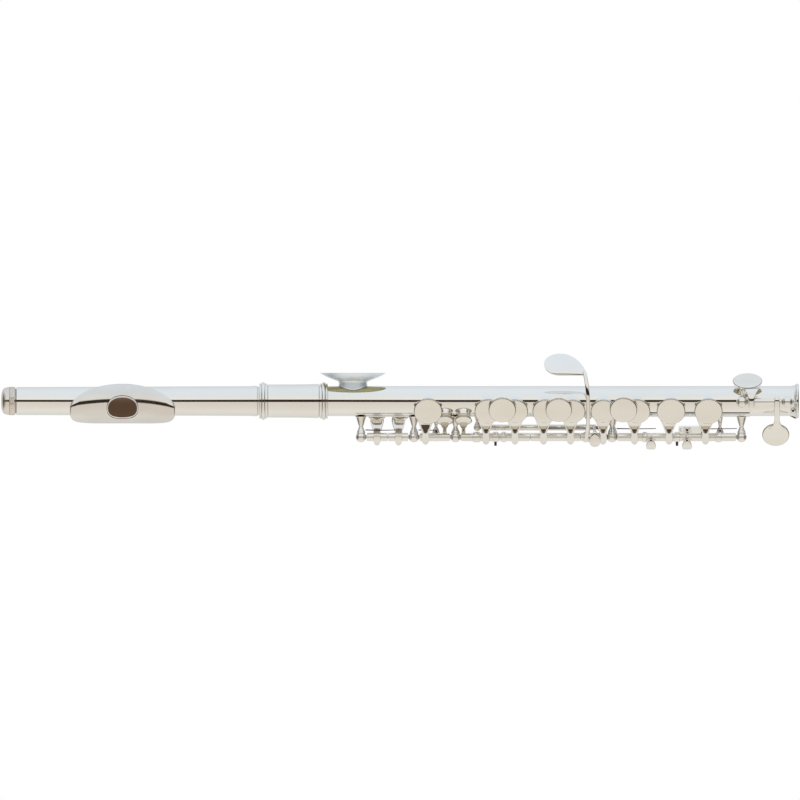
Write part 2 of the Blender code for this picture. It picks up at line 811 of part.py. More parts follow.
def make_top_keys():
    """The open-standing keys on the main hinge line."""
    keys = {
        "c_key": top_key("c_key", ["c_key"], 167.5, 179.5),
        "b_flat_key": top_key("b_flat_key", ["b_flat_key"], 184.1, 199.4,
                              [(188.8, 191.6), (196.8, 198.9)]),
        "a_key": top_key("a_key", ["a_key"], 199.65, 211.6, [(200.2, 202.0)]),
        "g_key": top_key("g_key", ["g_upper", "g_lower"], 211.85, 231.6),
        "f_sharp_key": top_key("f_sharp_key", ["f_sharp_key"], 237.6, 242.1),
        "f_key": top_key("f_key", ["f_key"], 246.7, 259.9, [(256.6, 258.4)]),
        "e_key": top_key("e_key", ["e_key"], 260.15, 273.9, [(269.3, 271.5)]),
        "d_key": top_key("d_key", ["d_key"], 274.15, 293.9, [(285.9, 288.1)]),
    }
    raised_touch("a", keys["a_key"], 200.6 * MM, 203.0 * MM)
    raised_touch("g", keys["g_key"], 223.0 * MM, 225.9 * MM)
    raised_touch("f", keys["f_key"], 248.8 * MM, 251.7 * MM)
    clutch_path = [(-7.6, 7.6, 4.9, 0.8, 0.0), (-9.4, 6.5, 4.9, 0.8, 0.0), (-11.2, 5.7, 4.9, 0.8, 0.0)]
    clutch = bar("clutch_tool", 275.9 * MM, clutch_path)
    unite_key(keys["d_key"], clutch)
    for key in keys.values():
        key.rotation_euler.x = KEY_OPEN


def make_thumb_keys():
    """The two thumb keys, with their cups on the player's underside of the tube."""
    angle = radians(-140.0)
    radius = 4.3 * MM
    path = [
        (-7.6, -6.0, 2.6, 0.34, 0.0),
        (-9.7, -4.4, 2.7, 0.9, 0.0),
        (-11.2, -1.2, 2.1, 0.9, 0.0),
        (-12.0, 1.6, 1.6, 0.9, 0.0),
        (-12.3, 3.6, 1.5, 0.9, 0.0),
    ]
    tip_path = [
        (-12.6, 6.85, 1.4, 0.7, 0.0),
        (-13.9, 6.65, 1.5, 0.8, 0.0),
        (-15.4, 5.7, 1.3, 0.9, 0.0),
        (-16.5, 4.6, 0.9, 0.8, 0.0),
        (-17.1, 3.7, 0.4, 0.5, 0.0),
    ]
    for name, station, arm, start, end in (
        ("thumb_b_flat_key", 150.4, 150.4, 146.4, 154.6),
        ("thumb_b_key", 159.7, 159.0, 154.85, 162.9),
    ):
        key = bar(name, arm * MM, path, SILVER, on_line(arm * MM, MAIN_LINE))
        unite_key(key, bar(f"{name}_tip_tool", arm * MM, tip_path))
        cup_and_pad(name, key, station * MM, angle, radius)
        hinge(name, key, MAIN_LINE, start * MM, end * MM, HINGE_RADIUS, HINGE_BORE)
        key.rotation_euler.x = -KEY_OPEN


def egg_rings(left, right, half_width, bend_y, bend_z, bend):
    """Rings of an egg-shaped plate, bent about a line along the tube at (bend_y, bend_z),
    that narrows towards its right end."""
    steps = 10
    across_steps = 4
    middle = left + (right - left) * 0.4
    thickness = 0.9
    tilt = radians(33.0)
    drift = 1.0
    rings = []
    for i in range(steps + 1):
        along = left + (right - left) * (0.5 - 0.5 * cos(pi * (0.05 + 0.90 * i / steps)))
        span = middle - left if along < middle else (right - middle) * 1.12
        half = half_width * sqrt(1 - ((along - middle) / span) ** 2)
        centre = -drift * max(0.0, (along - middle) / (right - middle)) ** 2
        shares = [2 * k / across_steps - 1 for k in range(across_steps + 1)]
        corners = [(share, bend) for share in shares]
        corners += [(share, bend - thickness) for share in reversed(shares)]
        ring = []
        for share, radius in corners:
            y, z = polar(tilt + (centre + half * share) / bend, radius)
            ring.append(place(along * MM, (bend_y + y) * MM, (bend_z + z) * MM))
        rings.append(ring)
    return rings


def make_g_sharp_key():
    """Closed-standing key: touch on the far side, cup under the tube."""
    arm = 234.85 * MM
    over_path = [
        (-14.6, 6.5, 0.75, 0.8, 0.0),
        (-12.9, 7.0, 0.75, 0.9, 0.0),
        (-9.0, 9.0, 0.75, 1.0, 0.0),
        (-4.0, 10.5, 0.75, 1.0, 0.0),
        (1.0, 10.8, 0.75, 1.0, 0.0),
        (6.0, 10.2, 0.75, 1.0, 0.0),
        (11.0, 8.0, 0.75, 1.0, 0.0),
        (14.0, 6.0, 0.75, 1.0, 0.0),
        (17.0, 4.7, 0.75, 1.0, 0.0),
    ]
    over_sway = [-0.8, -0.7, -0.3, 0.0, 0.0, -0.1, -0.7, -1.5, -2.6]
    under_path = [
        (-6.0, -7.43, 1.9, 0.34, 0.0),
        (-7.95, -6.3, 1.9, 0.34, 0.0),
        (-8.7, -4.9, 1.5, 0.8, 0.0),
        (-8.8, -2.2, 0.75, 0.9, 0.0),
        (-8.6, 1.6, 0.75, 0.9, 0.0),
        (-8.9, 5.0, 0.75, 1.0, 0.0),
        (-10.4, 7.6, 0.75, 1.0, 0.0),
        (-12.4, 7.0, 0.75, 0.8, 0.0),
    ]
    key = bar("g_sharp_key", arm, under_path, SILVER, on_line(arm, MAIN_LINE))
    over = bar("g_sharp_over_tool", arm, over_path, sway=over_sway)
    touch = lofted("g_sharp_touch_tool", egg_rings(217.2, 233.6, 4.4, 10.7, -7.0, 13.6))
    unite_key(key, over, touch)
    cup_and_pad("g_sharp_key", key, arm, radians(-150.0), 4.0 * MM)
    hinge("g_sharp_key", key, MAIN_LINE, 231.85 * MM, 237.35 * MM, HINGE_RADIUS, HINGE_BORE,
          [(233.0 * MM, 235.4 * MM, 2.1 * MM)])


def make_e_flat_key():
    """Closed-standing key at the foot: cup on the far side, touch towards the player."""
    arm = 300.2 * MM
    neck = 310.4 * MM
    arm_path = [
        (8.73, 4.89, 3.6, 0.34, 0.0),
        (8.3, 7.7, 3.0, 0.9, 0.2),
        (6.7, 9.8, 1.9, 0.9, 0.2),
        (4.2, 10.95, 1.1, 0.9, 0.0),
        (1.6, 11.1, 1.1, 0.9, 0.0),
        (-0.8, 10.3, 0.45, 0.6, 0.0),
    ]
    neck_path = [
        (5.6, 9.9, 0.8, 0.7, 0.0),
        (4.2, 10.9, 1.0, 0.9, 0.0),
        (1.8, 11.15, 1.1, 0.9, 0.0),
        (-2.0, 10.2, 1.1, 0.9, 0.0),
        (-5.2, 8.4, 1.1, 0.9, 0.0),
        (-7.6, 7.0, 2.2, 0.8, 0.0),
        (-10.2, 6.4, 3.8, 0.6, 0.0),
    ]
    key = bar("e_flat_key", arm, arm_path, SILVER, on_line(arm, FOOT_LINE))
    unite_key(key, bar("e_flat_neck_tool", neck, neck_path))
    radius = 5.4 * MM
    high = 0.5 * MM
    touch = turned("e_flat_touch_tool", [
        (0.0, high),
        (radius - CUP_EDGE, high),
        (radius, high - CUP_EDGE),
        (radius, -high),
        (0.0, -high),
    ], CUP_SIDES)
    touch.location = place(neck, -11.9 * MM, 6.3 * MM)
    unite_key(key, touch)
    cup_and_pad("e_flat_key", key, 298.6 * MM, radians(80.0), 5.9 * MM)
    hinge("e_flat_key", key, FOOT_LINE, 298.9 * MM, 312.1 * MM, 1.5 * MM, 0.85 * MM)


def trill_arm_path():
    """Arm from a trill cup, down between the main hinges and the tube, to its own hinge."""
    return [
        (-6.4, 7.05, 1.6, 0.34, 0.0),
        (-8.3, 5.9, 1.4, 0.8, 0.0),
        (-9.9, 4.2, 0.8, 0.8, 0.0),
        (-11.0, 2.4, 0.75, 0.8, 0.0),
        (-12.4, 1.2, 0.75, 0.8, 0.0),
        (-13.75, 1.05, 0.75, 0.6, 0.0),
    ]


def trill_touch_path():
    """Stem outside the main hinges that carries a small finger plate."""
    return [
        (-15.9, 1.4, 1.1, 0.6, 0.0),
        (-17.3, 2.6, 1.2, 0.8, 0.0),
        (-17.9, 5.0, 1.5, 0.8, 0.0),
        (-17.2, 7.1, 2.0, 0.9, 0.0),
        (-15.4, 7.95, 2.1, 0.9, 0.0),
        (-13.0, 8.0, 1.8, 0.8, 0.0),
    ]


def make_trill_keys():
    """Two closed-standing trill keys, one on a tube around the other's rod."""
    angle = radians(-38.0)
    radius = 3.4 * MM
    for name, cup, touch in (
        ("d_sharp_trill_key", 177.5 * MM, 274.4 * MM),
        ("d_trill_key", 185.0 * MM, 260.0 * MM),
    ):
        key = bar(name, cup, trill_arm_path(), SILVER, on_line(cup, TRILL_LINE))
        unite_key(key, bar(f"{name}_touch_tool", touch, trill_touch_path()))
        cup_and_pad(name, key, cup, angle, radius)
        if name == "d_trill_key":
            hinge(name, key, TRILL_LINE, 183.4 * MM, 262.0 * MM, THIN_RADIUS, THIN_BORE)
            continue
        ends = [(172.4, 289.2, THIN_STEEL), (176.2, 179.4, THIN_RADIUS), (272.4, 276.4, THIN_RADIUS)]
        for i, (start, end, outer) in enumerate(ends):
            span = (on_line(start * MM, TRILL_LINE), on_line(end * MM, TRILL_LINE), outer)
            unite_key(key, rods(f"{name}_rod_tool_{i}", [span], HINGE_SIDES))


def make_side_lever():
    """Side B-flat lever: touch above the main hinges, finger reaching under the B-flat tail."""
    touch = 237.0 * MM
    finger = 194.0 * MM
    touch_path = [
        (-10.2, 1.0, 0.6, 0.6, 0.0),
        (-9.5, 2.8, 0.6, 0.8, 0.0),
        (-9.3, 5.4, 0.6, 0.8, 0.0),
        (-10.3, 7.5, 0.6, 0.8, 0.0),
        (-12.2, 8.1, 0.6, 0.9, 0.0),
        (-13.9, 8.0, 0.6, 0.8, 0.0),
    ]
    finger_path = [
        (-11.2, -0.1, 0.8, 0.6, 0.0),
        (-12.8, -1.6, 0.8, 0.8, 0.0),
        (-15.2, -1.8, 0.8, 0.8, 0.0),
        (-17.2, -0.6, 0.8, 0.8, 0.0),
        (-17.4, 1.2, 0.8, 0.6, 0.0),
    ]
    origin = on_line(touch, SIDE_LINE)
    key = bar("side_b_flat_lever", touch, touch_path, SILVER, origin)
    unite_key(key, bar("side_finger_tool", finger, finger_path))
    hinge("side_b_flat_lever", key, SIDE_LINE, 192.2 * MM, 237.9 * MM, 1.2 * MM, 0.75 * MM)


make_head_joint()
make_crown_and_stopper()
make_barrel()
make_body_tube()
make_finger_rest()
make_ribs()
make_foot_posts()
make_top_keys()
make_thumb_keys()
make_g_sharp_key()
make_e_flat_key()
make_trill_keys()
make_side_lever()
make_steels_and_springs()
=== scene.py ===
"""Looks of the metal piccolo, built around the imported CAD.

Every piece is drawn in the CAD's own frame. The tube lies along X, and a place on the
instrument is a station (distance from the crown end) with offsets y and z from the tube
axis. Keys are drawn closed on their tone holes and then turned about their own hinge to
the place where they rest.
"""

import json
from math import asin, atan2, copysign, cos, hypot, pi, radians, sin, sqrt, tanh, tau

import bmesh
import bpy
import numpy as np
from mathutils import Matrix, Vector


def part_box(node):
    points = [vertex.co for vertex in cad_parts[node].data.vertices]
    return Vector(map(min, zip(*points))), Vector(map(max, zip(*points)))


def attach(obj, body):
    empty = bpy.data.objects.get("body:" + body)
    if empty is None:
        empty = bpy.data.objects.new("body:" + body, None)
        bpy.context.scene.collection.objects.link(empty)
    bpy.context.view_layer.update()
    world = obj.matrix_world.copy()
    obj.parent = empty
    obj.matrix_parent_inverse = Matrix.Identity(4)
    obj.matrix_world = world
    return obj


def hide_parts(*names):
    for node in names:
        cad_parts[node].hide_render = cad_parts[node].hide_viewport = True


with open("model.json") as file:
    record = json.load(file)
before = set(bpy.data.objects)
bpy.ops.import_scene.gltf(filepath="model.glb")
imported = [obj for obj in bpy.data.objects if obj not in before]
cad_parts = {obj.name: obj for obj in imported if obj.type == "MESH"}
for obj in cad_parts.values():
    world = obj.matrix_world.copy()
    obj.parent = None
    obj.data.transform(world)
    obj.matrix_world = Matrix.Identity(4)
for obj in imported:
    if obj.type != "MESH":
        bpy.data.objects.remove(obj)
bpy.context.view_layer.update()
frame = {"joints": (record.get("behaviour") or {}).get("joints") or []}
MM = 0.001


# ---------------------------------------------------------------------------
# Places read from the CAD

def low(node):
    """Lowest corner of a CAD node."""
    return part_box(node)[0]


def high(node):
    """Highest corner of a CAD node."""
    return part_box(node)[1]


def centre(node):
    """Middle of a CAD node's box."""
    return (low(node) + high(node)) / 2


# directions from the instrument towards the camera and towards the top of the picture
TILT = radians(20.0)
TOWARDS = Vector((0.0, sin(TILT), cos(TILT)))
UPWARDS = Vector((0.0, cos(TILT), -sin(TILT)))

CROWN_X = low("head_crown").x
AXIS_Y = centre("head_tube").y
AXIS_Z = centre("head_tube").z


def station(x):
    """Distance in millimetres from the crown end of a world X."""
    return (x - CROWN_X) / MM


def start_of(node):
    """Station where a node starts."""
    return station(low(node).x)


def end_of(node):
    """Station where a node ends."""
    return station(high(node).x)


def middle_of(node):
    """Station of a node's middle."""
    return station(centre(node).x)


def half_length(node):
    """Half of a node's length in millimetres."""
    return (end_of(node) - start_of(node)) / 2


def half_height(node):
    """Half of a node's height in millimetres."""
    return (high(node).z - low(node).z) / 2 / MM


def offsets(point):
    """Offsets (y, z) in millimetres of a world point from the tube axis."""
    return (point.y - AXIS_Y) / MM, (point.z - AXIS_Z) / MM


def place(at, y=0.0, z=0.0):
    """World point of a station with offsets, all in millimetres."""
    return np.array((CROWN_X + at * MM, AXIS_Y + y * MM, AXIS_Z + z * MM))


def polar(angle, radius):
    """Offsets (y, z) at an angle from the top of the tube."""
    return radius * sin(angle), radius * cos(angle)


def offset_of(up, towards):
    """Offsets (y, z) of a point given up the picture and towards the camera."""
    return up * UPWARDS.y + towards * TOWARDS.y, up * UPWARDS.z + towards * TOWARDS.z


JOINTS = {joint["name"]: joint for joint in frame["joints"]}


# ---------------------------------------------------------------------------
# Mesh tools. A solid is (points, faces); points are world metres.

def turned(profile, sides, start, axis, closed=False):
    """Revolves (radius, height) pairs, in millimetres, about a line."""
    axis = Vector(axis).normalized()
    side = axis.orthogonal().normalized()
    other = axis.cross(side)
    points = []
    rows = []
    for radius, height in profile:
        middle = Vector(start) + axis * height * MM
        if radius < 1e-6:
            rows.append([len(points)] * sides)
            points.append(middle)
            continue
        rows.append(list(range(len(points), len(points) + sides)))
        for k in range(sides):
            turn = tau * k / sides
            points.append(middle + (side * cos(turn) + other * sin(turn)) * radius * MM)
    pairs = list(zip(rows, rows[1:]))
    if closed:
        pairs.append((rows[-1], rows[0]))
    faces = []
    for first, second in pairs:
        for k in range(sides):
            n = (k + 1) % sides
            corners = [first[k], first[n], second[n], second[k]]
            face = [c for i, c in enumerate(corners) if c not in corners[:i]]
            if len(face) > 2:
                faces.append(face)
    return [tuple(p) for p in points], faces


def turned_along(profile, sides, closed=False):
    """Revolves (radius, station) pairs about the tube axis."""
    return turned(profile, sides, place(0.0), (1, 0, 0), closed)


def lofted(rings, capped=True, looped=False):
    """Joins rings of equally many points; the ends get caps, or meet when looped."""
    count = len(rings[0])
    points = [tuple(p) for ring in rings for p in ring]
    faces = []
    last = len(rings) if looped else len(rings) - 1
    for r in range(last):
        first = r * count
        second = (r + 1) % len(rings) * count
        for i in range(count):
            j = (i + 1) % count
            faces.append((first + i, first + j, second + j, second + i))
    if capped and not looped:
        faces.append(tuple(reversed(range(count))))
        faces.append(tuple(range((len(rings) - 1) * count, len(rings) * count)))
    return points, faces


def smooth_rows(rows, steps):
    """Runs a smooth curve through rows of numbers, steps pieces between neighbours."""
    rows = np.array(rows, float)
    padded = np.vstack([2 * rows[0] - rows[1], rows, 2 * rows[-1] - rows[-2]])
    made = []
    for i in range(1, len(padded) - 2):
        before, here, there, after = padded[i - 1:i + 3]
        for k in range(steps):
            t = k / steps
            made.append(0.5 * (
                2 * here
                + (there - before) * t
                + (2 * before - 5 * here + 4 * there - after) * t ** 2
                + (3 * here - before - 3 * there + after) * t ** 3
            ))
    made.append(rows[-1])
    return np.array(made)


def rounded(turn, power):
    """Cosine and sine of an angle, squared off by a power below one."""
    across = copysign(abs(cos(turn)) ** power, cos(turn))
    rise = copysign(abs(sin(turn)) ** power, sin(turn))
    return across, rise


def bar(at, path, steps=6, sides=24, power=0.62):
    """A bent bar across the tube, through rows of (y, z, half width, thickness, sway,
    half width of the groove, its depth); what is left out is nought. Returns the solid
    and, of the faces that line the groove, (face, y of its row)."""
    width = 7
    rows = smooth_rows([tuple(row) + (0.0,) * (width - len(row)) for row in path], steps)
    runs = np.gradient(rows[:, :2], axis=0)
    rings = []
    inside = []
    for row, (run_y, run_z) in zip(rows, runs):
        y, z, half, thickness, sway, groove, depth = row
        length = hypot(run_y, run_z)
        out_y, out_z = run_z / length, -run_y / length
        ring = []
        for k in range(sides):
            across, rise = rounded(tau * k / sides, power)
            across *= half
            height = thickness / 2 * rise
            hollow = rise > 0 and groove > 0.05 and abs(across) < groove
            if hollow:
                height -= depth * (1 - (across / groove) ** 2) ** 0.5
            inside.append(hollow)
            ring.append(place(at + sway + across, y + height * out_y, z + height * out_z))
        rings.append(ring)
    points, faces = lofted(rings)
    lining = [
        (i, rows[face[0] // sides][0]) for i, face in enumerate(faces)
        if all(inside[c] for c in face)
    ]
    return (points, faces), lining


def rod(start, end, radius, sides=20, bevel=0.12):
    """A round rod between two world points, with small bevels, in millimetres."""
    start, end = Vector(start), Vector(end)
    length = (end - start).length / MM
    profile = [
        (0.0, 0.0), (radius - bevel, 0.0), (radius, bevel),
        (radius, length - bevel), (radius - bevel, length), (0.0, length),
    ]
    return turned(profile, sides, start, end - start)


def pipe(line, start, end, outer, inner, collars=(), sides=32):
    """A hinge tube between two stations of a line (y, z), with rounded collars on it."""
    bevel = 0.1
    profile = [(outer - bevel, end), (outer, end - bevel)]
    for first, last, radius in sorted(collars, reverse=True):
        edge = min(0.3, (last - first) / 3)
        profile += [
            (outer, last), (radius - edge / 2, last), (radius, last - edge),
            (radius, first + edge), (radius - edge / 2, first), (outer, first),
        ]
    profile += [(outer, start + bevel), (outer - bevel, start), (inner, start), (inner, end)]
    return turned(profile, sides, place(0.0, *line), (1, 0, 0), closed=True)


# ---------------------------------------------------------------------------
# Pieces

def bodies_mesh(name, parts):
    """One mesh out of parts: (solid, material) and then pairs (faces, their material)."""
    points = []
    faces = []
    slots = []
    materials = []

    def slot_of(material):
        if material not in materials:
            materials.append(material)
        return materials.index(material)

    for part in parts:
        (solid_points, solid_faces), material = part[:2]
        base = len(points)
        points += solid_points
        faces += [tuple(base + c for c in face) for face in solid_faces]
        indices = [slot_of(material)] * len(solid_faces)
        for some, other in zip(part[2::2], part[3::2]):
            for i in some:
                indices[i] = slot_of(other)
        slots += indices
    mesh = bpy.data.meshes.new(name)
    mesh.from_pydata(points, [], faces)
    for material in materials:
        mesh.materials.append(material)
    mesh.polygons.foreach_set("material_index", slots)
    return mesh


def smoothed(mesh):
    """Smooth except over sharp edges."""
    mesh.shade_smooth()
    mesh.set_sharp_from_angle(angle=radians(40.0))


def finished(mesh):
    """Faces pointing out, smooth except over sharp edges."""
    bm = bmesh.new()
    bm.from_mesh(mesh)
    bmesh.ops.recalc_face_normals(bm, faces=bm.faces)
    bm.to_mesh(mesh)
    bm.free()
    smoothed(mesh)


def piece(name, parts, body, nodes, turn=0.0, line=None):
    """Makes a shown piece that rides on a body and stands for CAD nodes. A key is turned
    about its hinge line by the angle that takes it from closed to where it rests."""
    mesh = bodies_mesh(name, parts)
    if turn:
        hinge = Vector(place(0.0, *line))
        about = Matrix.Translation(hinge) @ Matrix.Rotation(turn, 4, "X")
        mesh.transform(about @ Matrix.Translation(-hinge))
    finished(mesh)
    obj = bpy.data.objects.new(name, mesh)
    bpy.context.scene.collection.objects.link(obj)
    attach(obj, body)
    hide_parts(*nodes)
    return obj


def carved(obj, solid):
    """Cuts a solid out of a piece, and keeps the result as its mesh."""
    mesh = bodies_mesh("cutter", [(solid, obj.data.materials[-1])])
    finished(mesh)
    tool = bpy.data.objects.new("cutter", mesh)
    bpy.context.scene.collection.objects.link(tool)
    cut = obj.modifiers.new("Cut", "BOOLEAN")
    cut.operation = "DIFFERENCE"
    cut.solver = "EXACT"
    cut.object = tool
    bpy.context.view_layer.update()
    shown = obj.evaluated_get(bpy.context.evaluated_depsgraph_get())
    result = bpy.data.meshes.new_from_object(shown)
    obj.modifiers.clear()
    obj.data = result
    bpy.data.objects.remove(tool)
    smoothed(result)


# ---------------------------------------------------------------------------
# Materials

def new_material(name, metallic):
    """An empty Principled material and its node tree."""
    material = bpy.data.materials.new(name)
    material.use_nodes = True
    shader = material.node_tree.nodes["Principled BSDF"]
    shader.inputs["Metallic"].default_value = metallic
    return material, material.node_tree, shader


def stretched_noise(tree, along, across, detail=3.0):
    """Noise over the object, with so many features per millimetre along and across X."""
    coords = tree.nodes.new("ShaderNodeTexCoord")
    mapping = tree.nodes.new("ShaderNodeMapping")
    mapping.inputs["Scale"].default_value = (along / MM, across / MM, across / MM)
    noise = tree.nodes.new("ShaderNodeTexNoise")
    noise.inputs["Scale"].default_value = 1.0
    noise.inputs["Detail"].default_value = detail
    tree.links.new(coords.outputs["Object"], mapping.inputs["Vector"])
    tree.links.new(mapping.outputs["Vector"], noise.inputs["Vector"])
    return noise.outputs["Fac"]


def ramp(tree, factor, stops, smooth=False):
    """A colour ramp; stops are (position, colour) with colours as three linear values."""
    made = tree.nodes.new("ShaderNodeValToRGB")
    made.color_ramp.interpolation = "EASE" if smooth else "LINEAR"
    elements = made.color_ramp.elements
    while len(elements) < len(stops):
        elements.new(0.5)
    for element, (position, colour) in zip(elements, stops):
        element.position = position
        element.color = (*colour, 1.0)
    tree.links.new(factor, made.inputs["Fac"])
    return made.outputs["Color"]


def grey(value):
    """A grey as three values."""
    return (value, value, value)


def mixed(tree, factor, first, second, kind="MIX"):
    """Mixes two colours, each a socket or three values, by a socket or a number."""
    made = tree.nodes.new("ShaderNodeMix")
    made.data_type = "RGBA"
    made.blend_type = kind
    sockets = made.inputs[0], made.inputs[6], made.inputs[7]
    for socket, value in zip(sockets, (factor, first, second)):
        if isinstance(value, bpy.types.NodeSocket):
            tree.links.new(value, socket)
        elif isinstance(value, tuple):
            socket.default_value = (*value, 1.0)
        else:
            socket.default_value = value
    return made.outputs[2]


def bump(tree, shader, height, strength, distance):
    """Adds a fine relief of so many millimetres."""
    made = tree.nodes.new("ShaderNodeBump")
    made.inputs["Strength"].default_value = strength
    made.inputs["Distance"].default_value = distance * MM
    tree.links.new(height, made.inputs["Height"])
    tree.links.new(made.outputs["Normal"], shader.inputs["Normal"])


def metal(name, colour, tarnish, smooth, dull, scratches=0.05, crevice_shade=0.40, glow=0.0):
    """Metal with slow tarnish, painted shade in crevices, bright worn edges and fine scratches.
    A glow stands for light that finds its way into a hollow."""
    material, tree, shader = new_material(name, 1.0)
    shader.inputs["Emission Color"].default_value = (*colour, 1.0)
    shader.inputs["Emission Strength"].default_value = glow
    slow = stretched_noise(tree, 0.05, 0.12)
    patches = ramp(tree, slow, [(0.42, grey(0.0)), (0.72, grey(1.0))])
    base = mixed(tree, patches, colour, tarnish)
    # painted shade: the colour darkens where ambient occlusion finds surfaces close by, as in
    # crevices and under parts
    corners = tree.nodes.new("ShaderNodeAmbientOcclusion")
    corners.samples = 6
    corners.inputs["Distance"].default_value = 0.9 * MM
    open_sky = ramp(tree, corners.outputs["AO"], [(0.25, grey(crevice_shade)), (0.80, grey(1.0))])
    base = mixed(tree, 1.0, base, open_sky, "MULTIPLY")
    geometry = tree.nodes.new("ShaderNodeNewGeometry")
    edges = ramp(tree, geometry.outputs["Pointiness"], [(0.52, grey(0.0)), (0.60, grey(0.5))])
    worn = tuple(min(1.0, c * 1.06) for c in colour)
    base = mixed(tree, edges, base, worn)
    tree.links.new(base, shader.inputs["Base Color"])
    lines = stretched_noise(tree, 0.25, 9.0, 2.0)
    fine = ramp(tree, lines, [(0.35, grey(smooth)), (0.75, grey(dull))])
    tree.links.new(mixed(tree, patches, fine, grey(dull)), shader.inputs["Roughness"])
    bump(tree, shader, lines, scratches, 0.01)
    return material


def soft(name, colour, other, roughness, grain, relief):
    """Cork or skin: two tones of grain over a rough surface."""
    material, tree, shader = new_material(name, 0.0)
    grains = stretched_noise(tree, grain, grain, 6.0)
    speckle = ramp(tree, grains, [(0.35, grey(0.0)), (0.65, grey(1.0))])
    tree.links.new(mixed(tree, speckle, colour, other), shader.inputs["Base Color"])
    fine = ramp(tree, grains, [(0.3, grey(roughness)), (0.7, grey(roughness * 0.8))])
    tree.links.new(fine, shader.inputs["Roughness"])
    bump(tree, shader, grains, 0.4, relief)
    return material


TUBE = metal("polished_silver", (0.95, 0.94, 0.92), (0.92, 0.90, 0.87), 0.04, 0.09, 0.03)
KEYWORK = metal("keywork_silver", (0.95, 0.93, 0.90), (0.91, 0.88, 0.83), 0.04, 0.09, 0.03)
SATIN = metal("satin_plate", (0.87, 0.85, 0.83), (0.80, 0.77, 0.74), 0.06, 0.12, 0.02)
# painted shade: near-black brown for grooves, holes and gaps where light hardly reaches; the
# adjusting screw heads are drawn in it too
RECESS_SHADE = metal("painted_recess_shade", (0.10, 0.075, 0.055), (0.07, 0.05, 0.035), 0.30, 0.45)
SHADE = metal("shaded_hollow", (0.66, 0.60, 0.50), (0.52, 0.45, 0.36), 0.25, 0.40)
# painted shade and reflection: a thin dark line round the rims of cups and touches
EDGE_SHADE_LINE = metal("painted_edge_shade", (0.36, 0.31, 0.26), (0.26, 0.21, 0.17), 0.20, 0.35)
# inside of the tubes: dark brown, with a faint painted glow for the light that reaches into the bore
BORE = metal("dull_bore", (0.20, 0.13, 0.085), (0.13, 0.08, 0.05), 0.25, 0.45, 0.30, glow=0.35)
# painted sheen: bluish white with a faint glow, for the finger rest dish
DISH_SHEEN = metal("dish_painted_sheen", (0.97, 0.99, 1.0), (0.93, 0.97, 1.0), 0.35, 0.50, 0.03)
WARM = metal("crown_silver", (0.88, 0.82, 0.76), (0.80, 0.73, 0.66), 0.10, 0.20, 0.02)
SATIN_CUP = metal("cup_plate", (0.96, 0.94, 0.90), (0.91, 0.89, 0.83), 0.12, 0.24, 0.05)
TOUCH = metal("touch_plate", (0.97, 0.97, 0.97), (0.94, 0.94, 0.93), 0.05, 0.10, 0.03)
STEEL = metal("rod_steel", (0.80, 0.78, 0.75), (0.66, 0.62, 0.57), 0.12, 0.25)
BLUED = metal("blued_steel", (0.045, 0.045, 0.07), (0.08, 0.055, 0.05), 0.25, 0.40)
CORK = soft("ground_cork", (0.60, 0.42, 0.26), (0.36, 0.22, 0.12), 0.85, 2.5, 0.15)
SKIN = soft("pad_skin_over_felt", (0.84, 0.73, 0.54), (0.72, 0.58, 0.40), 0.55, 1.2, 0.05)


def paint_sheen_and_reflection(material, seen, mirrored):
    """Paints light on a metal: one plain colour and a faint glow to the camera as painted sheen, and
    an olive colour and its own glow as painted reflection in the metal that mirrors it. Roughness
    and scratches stay as they are."""
    tree = material.node_tree
    shader = tree.nodes["Principled BSDF"]
    rays = tree.nodes.new("ShaderNodeLightPath")
    colour = mixed(tree, rays.outputs["Is Camera Ray"], mirrored, seen)
    tree.links.new(colour, shader.inputs["Emission Color"])
    shader.inputs["Emission Strength"].default_value = 1.0
    base = mixed(tree, rays.outputs["Is Camera Ray"], (0.40, 0.38, 0.26), (0.90, 0.94, 0.98))
    tree.links.new(base, shader.inputs["Base Color"])


# painted light on the finger rest dish: a faint bluish glow to the camera, an olive glow in what
# mirrors it
paint_sheen_and_reflection(DISH_SHEEN, (0.05, 0.07, 0.10), (0.10, 0.10, 0.05))


# ---------------------------------------------------------------------------
# Tubes

HEAD_START = start_of("head_tube")
HEAD_END = end_of("head_tube")
BARREL_START = start_of("barrel")
BARREL_END = end_of("barrel")
BODY_START = start_of("body_tube")
BODY_END = end_of("body_tube")
FOOT = end_of("end_ring")
SIDES = 128
HEAD_TENON = half_height("head_tube") - 0.4
HEAD_BORE = half_height("stopper_stem") + 0.2
BODY_RADIUS = 6.0
BODY_BORE = 5.5
EMBOUCHURE = middle_of("lip_riser")
RISER_WALL = 0.6
HOLE_HALF_LENGTH = half_length("lip_riser") - RISER_WALL
HOLE_HALF_WIDTH = (high("lip_riser").y - low("lip_riser").y) / 2 / MM - RISER_WALL
PLATE_RADIUS = 8.5
PLATE_HALF_LENGTH = half_length("lip_plate")
PLATE_THICKNESS = 0.7


def arc(centre_radius, centre_height, radius, first, last, steps):
    """Profile points on an arc; angles in degrees from straight out, towards the foot."""
    points = []
    for i in range(steps + 1):
        turn = radians(first + (last - first) * i / steps)
        points.append((centre_radius + radius * cos(turn), centre_height + radius * sin(turn)))
    return points


def lining_of(profile, first, sides=SIDES):
    """Faces of a closed profile from pair number first to the last one."""
    return range(first * sides, len(profile) * sides)


